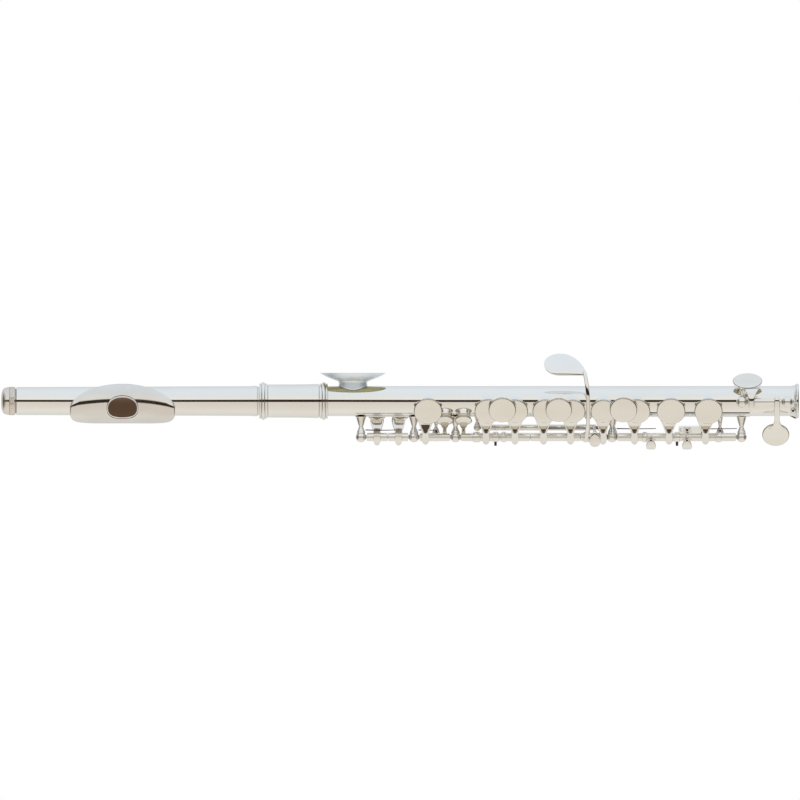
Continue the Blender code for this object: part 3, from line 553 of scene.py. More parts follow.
def make_head_tube():
    """Head tube, widening from the crown to the barrel, with the embouchure cut in it."""
    crown = 5.6
    wide = 5.95
    swell = half_height("head_tube")
    shoulder = BARREL_START - 0.9
    outer = [
        (HEAD_TENON, HEAD_END - 0.2),
        (HEAD_TENON, shoulder),
        *arc(swell - 0.25, shoulder - 0.25, 0.25, 90, 0, 4),
        (swell, shoulder - 1.1),
        (wide + 0.08, shoulder - 1.9),
        (wide, shoulder - 3.0),
        (crown, HEAD_START + 0.15),
        (crown - 0.15, HEAD_START),
    ]
    inner = [(HEAD_BORE, HEAD_START), (HEAD_BORE, HEAD_END), (HEAD_TENON - 0.2, HEAD_END)]
    profile = outer + inner
    lining = lining_of(profile, len(outer) - 1)
    tube = piece("head_tube_shell", [(turned_along(profile, SIDES, True), TUBE, lining, BORE)],
                 "head_joint", ["head_tube"])
    carved(tube, oval_prism(RISER_WALL + 0.1, 2.0, 12.0))


def oval(grow, turn):
    """Offsets along and across the tube of a point on the embouchure oval."""
    along, across = rounded(turn, 2 / 2.3)
    return along * (HOLE_HALF_LENGTH + grow), across * (HOLE_HALF_WIDTH + grow)


OVAL_STEPS = 144


def oval_ring(grow, height):
    """A ring on the embouchure oval; height gives z from the offset across the tube."""
    ring = []
    for i in range(OVAL_STEPS):
        along, across = oval(grow, tau * i / OVAL_STEPS)
        ring.append(place(EMBOUCHURE + along, across, height(across)))
    return ring


def oval_prism(grow, bottom, top):
    """A straight oval block over the embouchure."""
    return lofted([oval_ring(grow, lambda _: bottom), oval_ring(grow, lambda _: top)])


def make_riser():
    """Oval chimney between tube and lip plate, with a rounded rim at its top."""
    floor = HEAD_BORE - 0.15
    roof = PLATE_RADIUS + PLATE_THICKNESS / 2 + 0.02
    rim = 0.3

    def at_radius(radius):
        return lambda across: sqrt(radius ** 2 - across ** 2)

    rings = [oval_ring(RISER_WALL, at_radius(height)) for height in (floor, roof - rim)]
    steps = 6
    for i in range(steps + 1):
        turn = pi * i / steps
        grow = RISER_WALL / 2 * (1 + cos(turn))
        rings.append(oval_ring(grow, at_radius(roof - rim + rim * sin(turn))))
    rings.append(oval_ring(0.0, at_radius(floor)))
    solid = lofted(rings, looped=True)
    lining = range((len(rings) - 2) * OVAL_STEPS, (len(rings) - 1) * OVAL_STEPS)
    piece("lip_riser_wall", [(solid, TUBE, lining, BORE)], "head_joint", ["lip_riser"])


def plate_edge(turn):
    """Offset along the tube and angle of a point on the outline of the lip plate."""
    far = sin(turn) > 0
    reach = radians(80.0) if far else radians(62.0)
    power = 1.0 if far else 0.62
    along = copysign(abs(cos(turn)) ** power, cos(turn)) * PLATE_HALF_LENGTH
    angle = copysign(abs(sin(turn)) ** power, sin(turn)) * reach
    return along, angle - radians(7.0)


def plate_point(along, angle, lift):
    """A point on the saddle of the lip plate, which sinks most at its far corners."""
    twist = tanh((angle - radians(5.0)) / radians(35.0))
    lean = 1.0 if along > 0 else 0.7
    dip = lean * (1.0 + 1.5 * twist) * (along / PLATE_HALF_LENGTH) ** 2
    flare = 0.2 * (angle / radians(72.0)) ** 2
    return place(EMBOUCHURE + along, *polar(angle, PLATE_RADIUS - dip + flare + lift))


def make_lip_plate():
    """Saddle between the riser and its outline, with a rounded edge."""
    steps = 30
    round_from = 0.965
    roll_from = 0.82
    roll = 0.35
    rows = []
    shares = [1 - (1 - k / steps) ** 1.6 for k in range(steps + 1)]
    for side in (1, -1):
        rings = []
        for share in shares:
            over = max(0.0, (share - round_from) / (1 - round_from))
            lift = side * PLATE_THICKNESS / 2 * sqrt(1 - over ** 2)
            ring = []
            for i in range(OVAL_STEPS):
                turn = tau * i / OVAL_STEPS
                along, across = oval(RISER_WALL + 0.05, turn)
                edge_along, edge_angle = plate_edge(turn)
                angle = asin(across / PLATE_RADIUS)
                sink = roll * (max(0.0, share - roll_from) / (1 - roll_from)) ** 2
                ring.append(plate_point(
                    along + (edge_along - along) * share,
                    angle + (edge_angle - angle) * share,
                    lift - sink,
                ))
            rings.append(ring)
        rows += rings if side > 0 else rings[-2::-1]
    piece("lip_plate_shell", [(lofted(rows, looped=True), SATIN)], "head_joint", ["lip_plate"])


def make_crown():
    """Domed end cap with a knurled band, on a neck inside the head."""
    knurl = 0.05
    radius = half_height("head_crown") - knurl
    dome = 2.7
    power = 2.6
    teeth = 60
    sides = teeth * 4
    steps = 12
    rows = []
    for i in range(1, steps + 1):
        share = i / steps
        rows.append((radius * i / steps, dome * (1 - (1 - share ** power) ** (1 / power)), 0.0))
    band_start = 3.3
    band_end = 5.4
    knurls = 5
    rows += [(radius, band_start, 0.0), (radius - 0.15, band_start + 0.02, 0.0)]
    pitch = (band_end - band_start - 0.3) / knurls
    for i in range(knurls):
        at = band_start + 0.15 + pitch * i
        cut = 0.1 + i % 2
        rows += [(radius + knurl, at, cut), (radius + knurl, at + pitch * 0.7, cut)]
    rows += [(radius - 0.15, band_end - 0.02, 0.0), (radius, band_end, 0.0)]
    end = HEAD_START - 0.3
    rows += [(radius, end - 0.1, 0.0), (radius - 0.1, end, 0.0)]
    neck_radius = HEAD_BORE - 0.3
    rows += [(neck_radius, end, 0.0), (neck_radius, end_of("head_crown"), 0.0)]
    rings = []
    for ring_radius, at, depth in rows:
        ring = []
        for k in range(sides):
            turn = tau * k / sides
            cut = depth % 1 * ((k + 2 * int(depth)) % 4 > 1)
            ring.append(place(at, *polar(turn, ring_radius - cut)))
        rings.append(ring)
    # painted shade: the end face of the cap and its neck are dark, for the gap where the cap meets
    # the head tube
    shaded_gap = range((len(rings) - 3) * sides, (len(rings) - 1) * sides)
    piece("crown_cap", [(lofted(rings), WARM, shaded_gap, RECESS_SHADE)], "crown", ["head_crown"])


def ring_beads(start, end, base, bore, beads):
    """Profile of a ring; beads are (share of the length where they sit, width, bump)."""
    profile = []
    for share, width, bump_height in beads:
        middle = end + (start - end) * share
        steps = 8
        for i in range(steps + 1):
            turn = pi * i / steps
            profile.append((base + bump_height * sin(turn), middle + width / 2 * cos(turn)))
    return [(base, end), *profile, (base, start), (bore, start), (bore, end)]


def make_barrel():
    """Socket between the joints, flaring a little to its lower ring, and its two rings."""
    radius = half_height("barrel")
    under = radius - 0.3
    over = radius - 0.03
    flare = radius + 0.2
    upper_end = end_of("barrel_ring_upper") + 0.3
    lower_start = start_of("barrel_ring_lower") - 0.3
    long = lower_start - upper_end
    curve = []
    for i in range(13):
        share = i / 12
        curve.append((over + (flare - over) * share ** 4, upper_end + long * share))
    outer = [(under, BARREL_END), (under, lower_start), *reversed(curve), (under, upper_end)]
    outer.append((under, BARREL_START))
    inner = [
        (HEAD_TENON + 0.1, BARREL_START), (HEAD_TENON + 0.1, BODY_START - 0.3),
        (BODY_RADIUS + 0.1, BODY_START - 0.3), (BODY_RADIUS + 0.1, BARREL_END),
    ]
    profile = outer + inner
    lining = lining_of(profile, len(outer))
    piece("barrel_shell", [(turned_along(profile, SIDES, True), TUBE, lining, BORE)],
          "body", ["barrel"])
    for node, flip in (("barrel_ring_upper", False), ("barrel_ring_lower", True)):
        shares = [(0.16, 0.9, 0.12), (0.52, 1.5, 0.68), (0.88, 0.75, 0.18)]
        if flip:
            shares = [(1 - share, width, rise) for share, width, rise in reversed(shares)]
        profile = ring_beads(start_of(node), end_of(node), 6.88, under + 0.1, shares)
        piece(f"{node}_beads", [(turned_along(profile, SIDES, True), TUBE)], "body", [node])


def chimney(at, angle, hole, wall, top):
    """Rim of a tone hole: a drawn collar on the tube with a rolled top edge."""
    sides = 48
    root = BODY_RADIUS - 0.12
    roll = 0.22
    outer = hole + wall
    # radius, and height measured down from the top or, when None, at the tube's surface
    profile = [(outer + 0.55, None), (outer + 0.12, 0.85), (outer - 0.02, 0.5)]
    for i in range(7):
        turn = pi * i / 6
        profile.append((outer - roll / 2 + roll * 0.7 * cos(turn), roll - roll * sin(turn)))
    profile += [(hole, 0.5), (hole, top - BODY_BORE + 0.3)]
    rings = []
    for radius, drop in profile:
        ring = []
        for k in range(sides):
            turn = tau * k / sides
            along, lateral = radius * cos(turn), radius * sin(turn)
            height = sqrt(root ** 2 - lateral ** 2) if drop is None else top - drop
            y = lateral * cos(angle) + height * sin(angle)
            z = height * cos(angle) - lateral * sin(angle)
            ring.append(place(at + along, y, z))
        rings.append(ring)
    return lofted(rings, looped=True)


def closed_point(node, body):
    """Offsets of a pad's middle with its key closed, and its angle around the tube."""
    turn, line = key_turn(body)
    y, z = offsets(centre(node))
    y, z = y - line[0], z - line[1]
    closed_y = y * cos(turn) + z * sin(turn) + line[0]
    closed_z = -y * sin(turn) + z * cos(turn) + line[1]
    return closed_y, closed_z, atan2(closed_y, closed_z)


def key_line(body):
    """Offsets (y, z) of a key's hinge line."""
    return offsets(Vector(JOINTS[f"{body}_hinge"]["pos_m"]))


def key_station(body):
    """Station of the arm of a key, where its hinge is stated."""
    return station(JOINTS[f"{body}_hinge"]["pos_m"][0])


STAND_OPEN = ["c_key", "b_flat_key", "a_key", "g_key", "f_sharp_key", "f_key", "e_key", "d_key",
              "thumb_b_flat_key", "thumb_b_key"]


def key_turn(body):
    """Angle from closed to rest of a key, and its hinge line."""
    if body not in STAND_OPEN:
        return 0.0, key_line(body)
    limits = JOINTS[f"{body}_hinge"]["range_deg"]
    return -radians(min(limits) + max(limits)), key_line(body)


PAD_THICKNESS = 1.4
PADS = {
    f"{body}_pad": body
    for body in STAND_OPEN + ["g_sharp_key", "e_flat_key", "d_trill_key", "d_sharp_trill_key"]
    if body != "g_key"
}
PADS.update({"g_upper_pad": "g_key", "g_lower_pad": "g_key"})


def pad_place(node):
    """Station, angle, radius and seat height of a closed pad."""
    y, z, angle = closed_point(node, PADS[node])
    radius = half_length(node)
    return middle_of(node), angle, radius, hypot(y, z) - PAD_THICKNESS / 2


def make_body_tube():
    """Body tube, open at both ends, with the rims of its tone holes."""
    outer = [(BODY_RADIUS - 0.1, BODY_END), (BODY_RADIUS, BODY_END - 0.1)]
    outer += [(BODY_RADIUS, BODY_START + 0.1), (BODY_RADIUS - 0.1, BODY_START)]
    profile = outer + [(BODY_BORE, BODY_START), (BODY_BORE, BODY_END)]
    lining = lining_of(profile, len(outer) - 1)
    parts = [(turned_along(profile, SIDES, True), TUBE, lining, BORE)]
    tube = piece("body_tube_shell", parts, "body", [])
    wall = 0.5
    rims = []
    cutters = []
    for node in PADS:
        at, angle, _, seat = pad_place(node)
        hole = {"top": 2.8, "trill": 1.9, "small": 2.7, "foot": 3.6}[hole_kind(node)]
        rims.append((chimney(at, angle, hole, wall, seat - 0.3), TUBE))
        start = place(at, *polar(angle, BODY_BORE - 1.5))
        end = place(at, *polar(angle, BODY_RADIUS + 2.0))
        cutters.append(rod(start, end, hole + wall * 0.4, 48))
    for cutter in cutters:
        carved(tube, cutter)
    rim = piece("tone_hole_rims", rims, "body", ["body_tube"])
    return tube, rim


def hole_kind(node):
    """Which size of tone hole a pad closes."""
    if "trill" in node:
        return "trill"
    if "thumb" in node or "g_sharp" in node:
        return "small"
    return "foot" if "e_flat" in node else "top"


def make_end_ring():
    """Flared ring at the foot with a groove and a rounded lip, and the lug with its screw."""
    start = start_of("end_ring")
    lip = 0.85
    radius = half_height("end_ring") + 0.1
    flare = [(BODY_RADIUS + 0.08, start - 0.4), (6.2, start + 0.5), (6.4, start + 1.0),
             (6.72, start + 1.5), (6.62, start + 1.6), (6.74, start + 1.72), (radius, FOOT - lip)]
    outer = [(BODY_BORE, FOOT), *arc(radius - lip, FOOT - lip, lip, 90, 0, 8), *reversed(flare[:-1])]
    inner = [(BODY_RADIUS + 0.05, BODY_END + 0.1), (BODY_BORE, BODY_END + 0.1)]
    ring = turned_along(outer + inner, SIDES, True)
    # corners of the lug as (station, height in the picture)
    corners = [(FOOT - 5.2, -5.2), (FOOT - 1.4, -7.15), (FOOT - 0.5, -5.9), (FOOT - 0.5, -5.0)]
    faces = []
    for towards in (-0.5, 0.6):
        faces.append([place(at, *offset_of(up, towards)) for at, up in corners])
    screw_at = FOOT - 2.4
    angle = radians(-14.0)
    head = [
        (0.0, 6.2), (0.55, 6.2), (0.55, 6.95), (0.75, 7.05), (0.98, 6.85), (1.05, 5.6), (0.0, 5.6),
    ]
    direction = (0.0, sin(angle), cos(angle))
    sides = 40
    screw = turned(head, sides, place(screw_at), direction)
    parts = [
        (ring, TUBE),
        (lofted(faces), TUBE),
        # painted shade inside the socket in the top of the screw head
        (screw, TUBE, range(0, 2 * sides), RECESS_SHADE),
    ]
    piece("end_ring_flare", parts, "body", ["end_ring"])


def make_finger_rest():
    """Oval dish on a stem, both following one smooth outline."""
    middle = middle_of("finger_rest")
    angle = radians(110.0)
    half_long = half_length("finger_rest")
    # half length and half width as shares of the rim's, and height above the axis
    outline = [
        (0.44, 0.54, 5.9), (0.43, 0.53, 6.6), (0.43, 0.53, 7.5), (0.50, 0.58, 8.15),
        (0.66, 0.72, 8.95), (0.84, 0.88, 10.0), (0.975, 0.98, 11.05),
    ]
    lip = [(1.0, 1.0, 11.22), (0.985, 0.985, 11.3), (0.955, 0.955, 11.22)]
    dish = [(0.80, 0.84, 10.25), (0.62, 0.66, 9.55), (0.40, 0.42, 9.15), (0.1, 0.1, 9.0)]
    rows = np.vstack([smooth_rows(outline, 5), lip, smooth_rows(dish, 5)])
    half_wide = 8.2
    foot_top = 6.7
    foot = BODY_RADIUS + 0.25
    sides = 96
    rings = []
    for long_share, wide_share, height in rows:
        ring = []
        for k in range(sides):
            turn = tau * k / sides
            along = middle + half_long * long_share * cos(turn)
            across = half_wide * wide_share * sin(turn)
            out = height
            if height < foot_top:
                # the foot of the stem follows the round of the tube
                out = sqrt(foot ** 2 - across ** 2) + (height - outline[0][2]) * 0.9
            y = out * sin(angle) + across * cos(angle)
            z = out * cos(angle) - across * sin(angle)
            ring.append(place(along, y, z))
        rings.append(ring)
    solid = lofted(rings)
    # the dish's bluish sheen and its glow are painted light
    piece("finger_rest_dish", [(solid, DISH_SHEEN)], "body", ["finger_rest"])


# ---------------------------------------------------------------------------
# Posts and ribs

STUB = 1.9
SLOT = 0.12
THUMB_POST = start_of("thumb_steel") + STUB
UPPER_POST = (end_of("thumb_steel") + start_of("c_steel")) / 2
LEFT_POST = (end_of("c_steel") + start_of("left_hand_steel")) / 2
MIDDLE_POST = (end_of("left_hand_steel") + start_of("right_hand_steel")) / 2
FOOT_POST = end_of("right_hand_steel") - STUB
MAIN = key_line("c_key")
TRILL = key_line("d_trill_key")
SIDE = key_line("side_b_flat_lever")
FOOT_LINE = key_line("e_flat_key")
BALL = 2.1
RIB_TOP = 6.35


def post(at, line, ball, root, waist=0.72, base=1.95):
    """Turned post: flared root, narrow waist, and a skirt that runs into its ball."""
    reach = hypot(*line)
    out = reach - root
    rows = [
        (root - 0.3, base), (root + 0.12, base), (root + 0.35, base * 0.93),
        (root + out * 0.18, base * 0.77), (root + out * 0.33, base * 0.60),
        (root + out * 0.45, waist * 1.05), (root + out * 0.49, waist * 0.9),
        (root + out * 0.53, waist * 1.1), (root + out * 0.60, ball * 0.55),
        (root + out * 0.70, ball * 0.72), (root + out * 0.78, ball * 0.84),
    ]
    profile = [(0.0, root - 0.3)]
    profile += [(radius, height) for height, radius in smooth_rows(rows, 4)]
    skirt = reach - ball * 0.80
    profile = [pair for pair in profile if pair[1] < skirt - 0.1]
    profile += [(ball * 0.88, skirt), (ball * 0.80, skirt + 0.15)]
    first = -37
    for i in range(17):
        turn = radians(first + (90 - first) * i / 16)
        profile.append((ball * cos(turn) if i < 16 else 0.0, reach + ball * sin(turn)))
    direction = Vector((0.0, line[0], line[1])).normalized()
    return turned(profile, 40, place(at), direction)


def strap(start, end, first, last, inner, outer):
    """A strap bent round the tube between two angles in degrees, with soft edges."""
    steps = 24
    bevel = 0.2
    rings = []
    for at, sink in ((start, bevel), (start + bevel, 0.0), (end - bevel, 0.0), (end, bevel)):
        ring = []
        for i in range(steps + 1):
            edge = 0.05 if i in (0, steps) else 0.0
            turn = radians(first + (last - first) * i / steps)
            ring.append(place(at, *polar(turn, outer - max(sink, edge))))
        for i in range(steps + 1):
            turn = radians(last + (first - last) * i / steps)
            ring.append(place(at, *polar(turn, inner)))
        rings.append(ring)
    return lofted(rings)


def make_ribs():
    """The two ribs, each soldered to the tube with its posts on it."""
    thin = 1.8
    side_ball = 1.5
    trill_start = start_of("d_sharp_trill_key") + 1.6
    trill_end = end_of("d_sharp_trill_key") - 1.6
    side_posts = (start_of("side_steel") + 1.3, end_of("side_steel") - 1.3)
    layout = {
        "left_rib": (-63, -97, [
            (THUMB_POST, MAIN, BALL), (UPPER_POST, MAIN, BALL), (LEFT_POST, MAIN, BALL),
            (trill_start, TRILL, thin),
            (side_posts[0], SIDE, side_ball), (side_posts[1], SIDE, side_ball),
        ]),
        "right_rib": (-32, -98, [
            (MIDDLE_POST, MAIN, BALL), (MIDDLE_POST + 0.4, TRILL, 2.0),
            (trill_end, TRILL, thin), (FOOT_POST, MAIN, BALL),
        ]),
    }
    for name, (first, last, posts) in layout.items():
        parts = [(strap(start_of(name), end_of(name), first, last, BODY_RADIUS - 0.05, RIB_TOP),
                  TUBE)]
        for at, line, ball in posts:
            waist = 0.90 if ball > 1.9 else 0.60
            base = 2.1 if ball > 1.9 else 1.3
            parts.append((post(at, line, ball, RIB_TOP - 0.1, waist, base), KEYWORK))
        piece(f"{name}_with_posts", parts, "body", [name])
    for name in ("e_flat_post_upper", "e_flat_post_lower"):
        parts = [(post(middle_of(name), FOOT_LINE, 2.3, BODY_RADIUS - 0.1, 1.3, 1.9), KEYWORK)]
        piece(f"{name}_ball", parts, "body", [name])


def make_rods():
    """Hinge steels with screwdriver slots, and the blued needle springs."""
    for node in ("thumb_steel", "c_steel", "left_hand_steel", "right_hand_steel",
                 "e_flat_steel", "side_steel"):
        radius = half_height(node)
        y, z = offsets(centre(node))
        solid = rod(place(start_of(node), y, z), place(end_of(node), y, z), radius, 32)
        made = piece(f"{node}_rod", [(solid, STEEL)], "body", [node])
        slot_at = end_of(node) - SLOT * 2 - 0.01
        near = place(slot_at, y - radius * 2, z)
        far = place(slot_at, y + radius * 2, z)
        carved(made, rod(near, far, SLOT, 8, 0.02))
    for node in ("thumb_spring", "c_spring", "left_hand_spring", "right_hand_spring", "d_spring"):
        y, z = offsets(centre(node))
        start, end = start_of(node), end_of(node)
        radius = 0.22
        bow = 0.35
        steps, sides = 24, 10
        if node in ("thumb_spring", "c_spring"):
            # these two lie a little nearer to the player than in the CAD
            y -= 0.6
        rings = []
        for i in range(steps + 1):
            share = i / steps
            at = start + (end - start) * share
            thin = radius * (1 - 0.35 * share)
            lift = bow * sin(pi * share)
            rings.append([
                place(at, y + thin * cos(tau * k / sides), z + lift + thin * sin(tau * k / sides))
                for k in range(sides)
            ])
        piece(f"{node}_wire", [(lofted(rings), BLUED)], "body", [node])


# ---------------------------------------------------------------------------
# Keys. Everything here is drawn closed; key_piece turns it to where it rests.

CUP_TOP = 2.0
CUP_LIP = 0.6
HINGE = 1.65
HINGE_BORE = 0.95
THIN = 1.3
THIN_BORE = 0.9
TUBE_GAP = 0.25
BESIDE_POST = 2.3
COLLAR = 2.1
# how much wider in radius than the rest some cups are
CUP_GROW = {"c_key_pad": 0.35, "b_flat_key_pad": 0.15, "e_key_pad": 0.2, "d_key_pad": 0.1}


def rimmed_top(radius, height, dome, line):
    """Profile of a plate's top: flat, rounded towards a fine line along its edge. Returns
    the profile down to the edge, and the number of the pair that the line fills."""
    steep = radians(40.0)
    reach = dome * sin(steep)
    flat = radius - line - reach
    profile = [(0.0, height), (flat * 0.6, height)]
    for i in range(9):
        turn = steep * i / 8
        profile.append((flat + dome * sin(turn), height - dome * (1 - cos(turn))))
    edge = profile[-1][1]
    profile.append((radius, edge - line * 0.9))
    return profile, len(profile) - 2


def cup(node, dome=0.9, shaded=False):
    """Cup over a pad: flat roof rounded to a painted dark edge line, a wall that runs inwards to an
    open underside. A shaded cup has a wall painted dark as shade."""
    at, angle, pad_radius, seat = pad_place(node)
    radius = pad_radius + 0.55 + CUP_GROW.get(node, 0.0)
    inside = pad_radius + 0.1
    sides = 96
    profile, line = rimmed_top(radius, CUP_TOP, dome, 0.16)
    profile += [
        (inside + 0.12, CUP_LIP + 0.08), (inside + 0.06, CUP_LIP), (inside, CUP_LIP),
        (inside, PAD_THICKNESS + 0.1),
        (0.0, PAD_THICKNESS + 0.1),
    ]
    start = place(at, *polar(angle, seat))
    solid = turned(profile, sides, start, (0.0, sin(angle), cos(angle)))
    wall = range((line + 1) * sides, (line + 2) * sides)
    edge = range(line * sides, (line + 1) * sides)
    return solid, SATIN_CUP, edge, EDGE_SHADE_LINE, wall, SHADE if shaded else KEYWORK


def make_pads():
    """Skin over felt: a flat cushion with rounded edges and the print of its tone hole."""
    for node, body in PADS.items():
        at, angle, radius, seat = pad_place(node)
        profile = [(0.0, PAD_THICKNESS), (radius, PAD_THICKNESS), (radius, 0.45)]
        profile += arc(radius - 0.3, 0.3, 0.3, 0, -90, 5)
        print_radius = radius * 0.68
        profile += [
            (print_radius + 0.3, 0.0), (print_radius + 0.1, 0.07),
            (print_radius - 0.1, 0.07), (print_radius - 0.3, 0.0), (0.0, 0.0),
        ]
        solid = turned(profile, 72, place(at, *polar(angle, seat)), (0, sin(angle), cos(angle)))
        turn, line = key_turn(body)
        piece(f"{node}_skin", [(solid, SKIN)], body, [node], turn, line)


def key_piece(body, parts):
    """The shown metal of a key."""
    turn, line = key_turn(body)
    return piece(f"{body}_metal", parts, body, [body], turn, line)


def top_arm(at, radius, deep):
    """Arm of a top cup: a forked saddle on the roof, then a bar over the hinge tube that
    ends in a point. The fork's hollow is painted as shade: darker downwards, or dark throughout when
    deep."""
    w = radius / 5.2
    path = [
        (-3.4, 9.25, 3.3 * w, 0.5),
        (-4.4, 9.20, 3.1 * w, 0.6),
        (-5.4, 9.05, 2.75 * w, 0.9, 0.0, 2.0 * w, 0.30),
        (-6.8, 8.85, 2.3 * w, 1.2, 0.0, 1.65 * w, 0.60),
        (-8.2, 8.50, 1.85 * w, 1.3, 0.0, 1.2 * w, 0.80),
        (-9.6, 8.10, 1.5, 1.3, 0.0, 0.65, 0.60),
        (-10.2, 7.90, 1.4, 1.25, 0.0, 0.2, 0.3),
        (-10.8, 7.70, 1.35, 1.2),
        (-11.6, 7.45, 1.4, 1.1),
        (-13.2, 6.75, 1.55, 0.95),
        (-14.6, 6.20, 1.45, 0.95),
        (-15.8, 5.40, 1.1, 0.9),
        (-16.8, 4.30, 0.6, 0.7),
        (-17.15, 3.80, 0.25, 0.5),
    ]
    solid, lining = bar(at, path, steps=6, sides=40, power=0.8)
    # painted shade in the fork's groove: dark low down, half shade above
    dark_from = -5.9 if deep else -8.4
    dark = [i for i, y in lining if y < dark_from]
    shaded = [i for i, y in lining if dark_from <= y < -6.6]
    return solid, KEYWORK, dark, RECESS_SHADE, shaded, SHADE


def plain_bar(at, path, material=None):
    """A bar without a groove, as a part."""
    return bar(at, path)[0], material or KEYWORK


def disc_touch(at, y, low_z, high_z, radius, lean=0.0):
    """Finger disc with a rounded top, a painted dark edge line and a thin wall, leaning if asked."""
    sides = 96
    thickness = high_z - low_z
    profile, line = rimmed_top(radius, thickness, 0.9, 0.16)
    profile += [(radius, 0.25), (radius - 0.2, 0.0), (0.0, 0.0)]
    solid = turned(profile, sides, place(at, y, low_z), (0.0, sin(lean), cos(lean)))
    return solid, SATIN_CUP, range(line * sides, (line + 1) * sides), EDGE_SHADE_LINE


def pillar(at, y, low_z, high_z, radius):
    """Waisted pillar under a raised touch."""
    rows = [(low_z, radius * 1.25), (low_z + 0.25, radius), (high_z - 0.3, radius),
            (high_z, radius * 1.3)]
    profile = [(0.0, 0.0)]
    profile += [(r, z - low_z) for z, r in smooth_rows(rows, 4)]
    profile += [(0.0, high_z - low_z)]
    return turned(profile, 32, place(at, y, low_z), (0, 0, 1)), KEYWORK


# everything below is measured along the tube from the arm of the key it belongs to
TUBE_BEYOND_ARM = {
    "thumb_b_flat_key": 4.2, "b_flat_key": 5.4, "a_key": 6.0, "g_key": 14.6,
    "g_sharp_key": 2.5, "f_key": 6.5, "e_key": 6.7,
}
COLLARS = {
    "b_flat_key": [(-5.2, -2.4), (2.8, 4.9)],
    "a_key": [(-5.4, -3.6)],
    "g_sharp_key": [(-1.85, 0.55)],
    "f_key": [(3.2, 5.0)],
    "e_key": [(2.1, 4.3)],
    "d_key": [(4.1, 6.3)],
}
# disc, its pillar, and the disc's radius
RAISED = {"a_key": (-5.1, -2.6, 5.45), "g_key": (6.1, 8.9, 5.25), "f_key": (-4.4, -1.7, 5.45)}


def seam(body):
    """Station where a key's hinge tube meets the next one."""
    return key_station(body) + TUBE_BEYOND_ARM[body]


def collars_of(body):
    """Stations and radius of the collars on a key's hinge tube."""
    arm = key_station(body)
    return [(arm + first, arm + last, COLLAR) for first, last in COLLARS.get(body, [])]


def make_top_keys():
    """The eight open-standing keys on the main hinge line."""
    spans = {
        "c_key": (UPPER_POST + BESIDE_POST, LEFT_POST - BESIDE_POST),
        "b_flat_key": (LEFT_POST + BESIDE_POST, seam("b_flat_key")),
        "a_key": (seam("b_flat_key") + TUBE_GAP, seam("a_key")),
        "g_key": (seam("a_key") + TUBE_GAP, seam("g_key")),
        "f_sharp_key": (seam("g_sharp_key") + TUBE_GAP, MIDDLE_POST - BESIDE_POST),
        "f_key": (MIDDLE_POST + BESIDE_POST, seam("f_key")),
        "e_key": (seam("f_key") + TUBE_GAP, seam("e_key")),
        "d_key": (seam("e_key") + TUBE_GAP, FOOT_POST - BESIDE_POST),
    }
    touch_y, pillar_y = 1.6, 0.9
    touch_low, touch_high = 11.0, 11.9
    pillar_low = 9.5
    for body, (start, end) in spans.items():
        arm = key_station(body)
        parts = [(pipe(MAIN, start, end, HINGE, HINGE_BORE, collars_of(body)), KEYWORK)]
        nodes = ["g_upper_pad", "g_lower_pad"] if body == "g_key" else [f"{body}_pad"]
        offset = arm - middle_of(nodes[0])
        for node in nodes:
            at, _, pad_radius, _ = pad_place(node)
            parts.append(cup(node))
            parts.append(top_arm(at + offset, pad_radius + 0.55, body == "c_key"))
        if body in RAISED:
            touch, foot, touch_radius = RAISED[body]
            parts.append(disc_touch(arm + touch, touch_y, touch_low, touch_high, touch_radius))
            parts.append(pillar(arm + foot, pillar_y, pillar_low, touch_low + 0.2, 1.25))
        if body == "d_key":
            parts += clutch_plate()
        key_piece(body, parts)


def clutch_plate():
    """Plate between the two lowest keys, with an oval recess in a raised rim, its floor painted dark
    as shade.
    """
    at = key_station("d_key") - 5.9
    path = [(-7.5, 7.65, 4.75, 0.75), (-9.4, 6.55, 4.9, 0.8), (-11.3, 5.75, 4.75, 0.75)]
    recess = at - 2.5
    middle_y, middle_z = -9.3, 6.6
    slope = atan2(path[2][1] - path[0][1], path[0][0] - path[2][0])
    out = Vector((0.0, sin(slope), cos(slope))).normalized()
    down = Vector((0.0, -cos(slope), sin(slope))).normalized()
    start = Vector(place(recess, middle_y, middle_z)) + out * 0.4 * MM
    rings = []
    for grow, lift in ((0.45, -0.3), (0.45, 0.05), (0.3, 0.16), (0.1, 0.05), (0.0, -0.12)):
        ring = []
        for k in range(48):
            turn = tau * k / 48
            along = Vector((1.0, 0.0, 0.0)) * (1.5 + grow) * cos(turn)
            across = down * (1.1 + grow) * sin(turn)
            ring.append(tuple(start + (along + across + out * lift) * MM))
        rings.append(ring)
    solid = lofted(rings)
    floor = len(solid[1]) - 1
    return [plain_bar(at, path), (solid, KEYWORK, [floor], RECESS_SHADE)]


def make_thumb_keys():
    """The two thumb keys, with cups on the player's underside of the tube."""
    arm_path = [
        (-7.6, -6.0, 2.6, 0.5), (-9.7, -4.4, 2.7, 0.9), (-11.2, -1.2, 2.1, 0.9),
        (-12.0, 1.6, 1.6, 0.9), (-12.3, 3.6, 1.5, 0.9),
    ]
    tip_path = [
        (-12.6, 6.85, 1.4, 0.7), (-13.9, 6.65, 1.5, 0.8), (-15.4, 5.7, 1.3, 0.9),
        (-16.5, 4.6, 0.9, 0.8), (-17.1, 3.7, 0.4, 0.5),
    ]
    middle = seam("thumb_b_flat_key")
    for body, start, end in (
        ("thumb_b_flat_key", THUMB_POST + BESIDE_POST + 0.1, middle),
        ("thumb_b_key", middle + TUBE_GAP, UPPER_POST - BESIDE_POST),
    ):
        at = key_station(body)
        parts = [
            (pipe(MAIN, start, end, HINGE, HINGE_BORE), KEYWORK),
            plain_bar(at, arm_path),
            plain_bar(at, tip_path),
            cup(f"{body}_pad"),
        ]
        key_piece(body, parts)


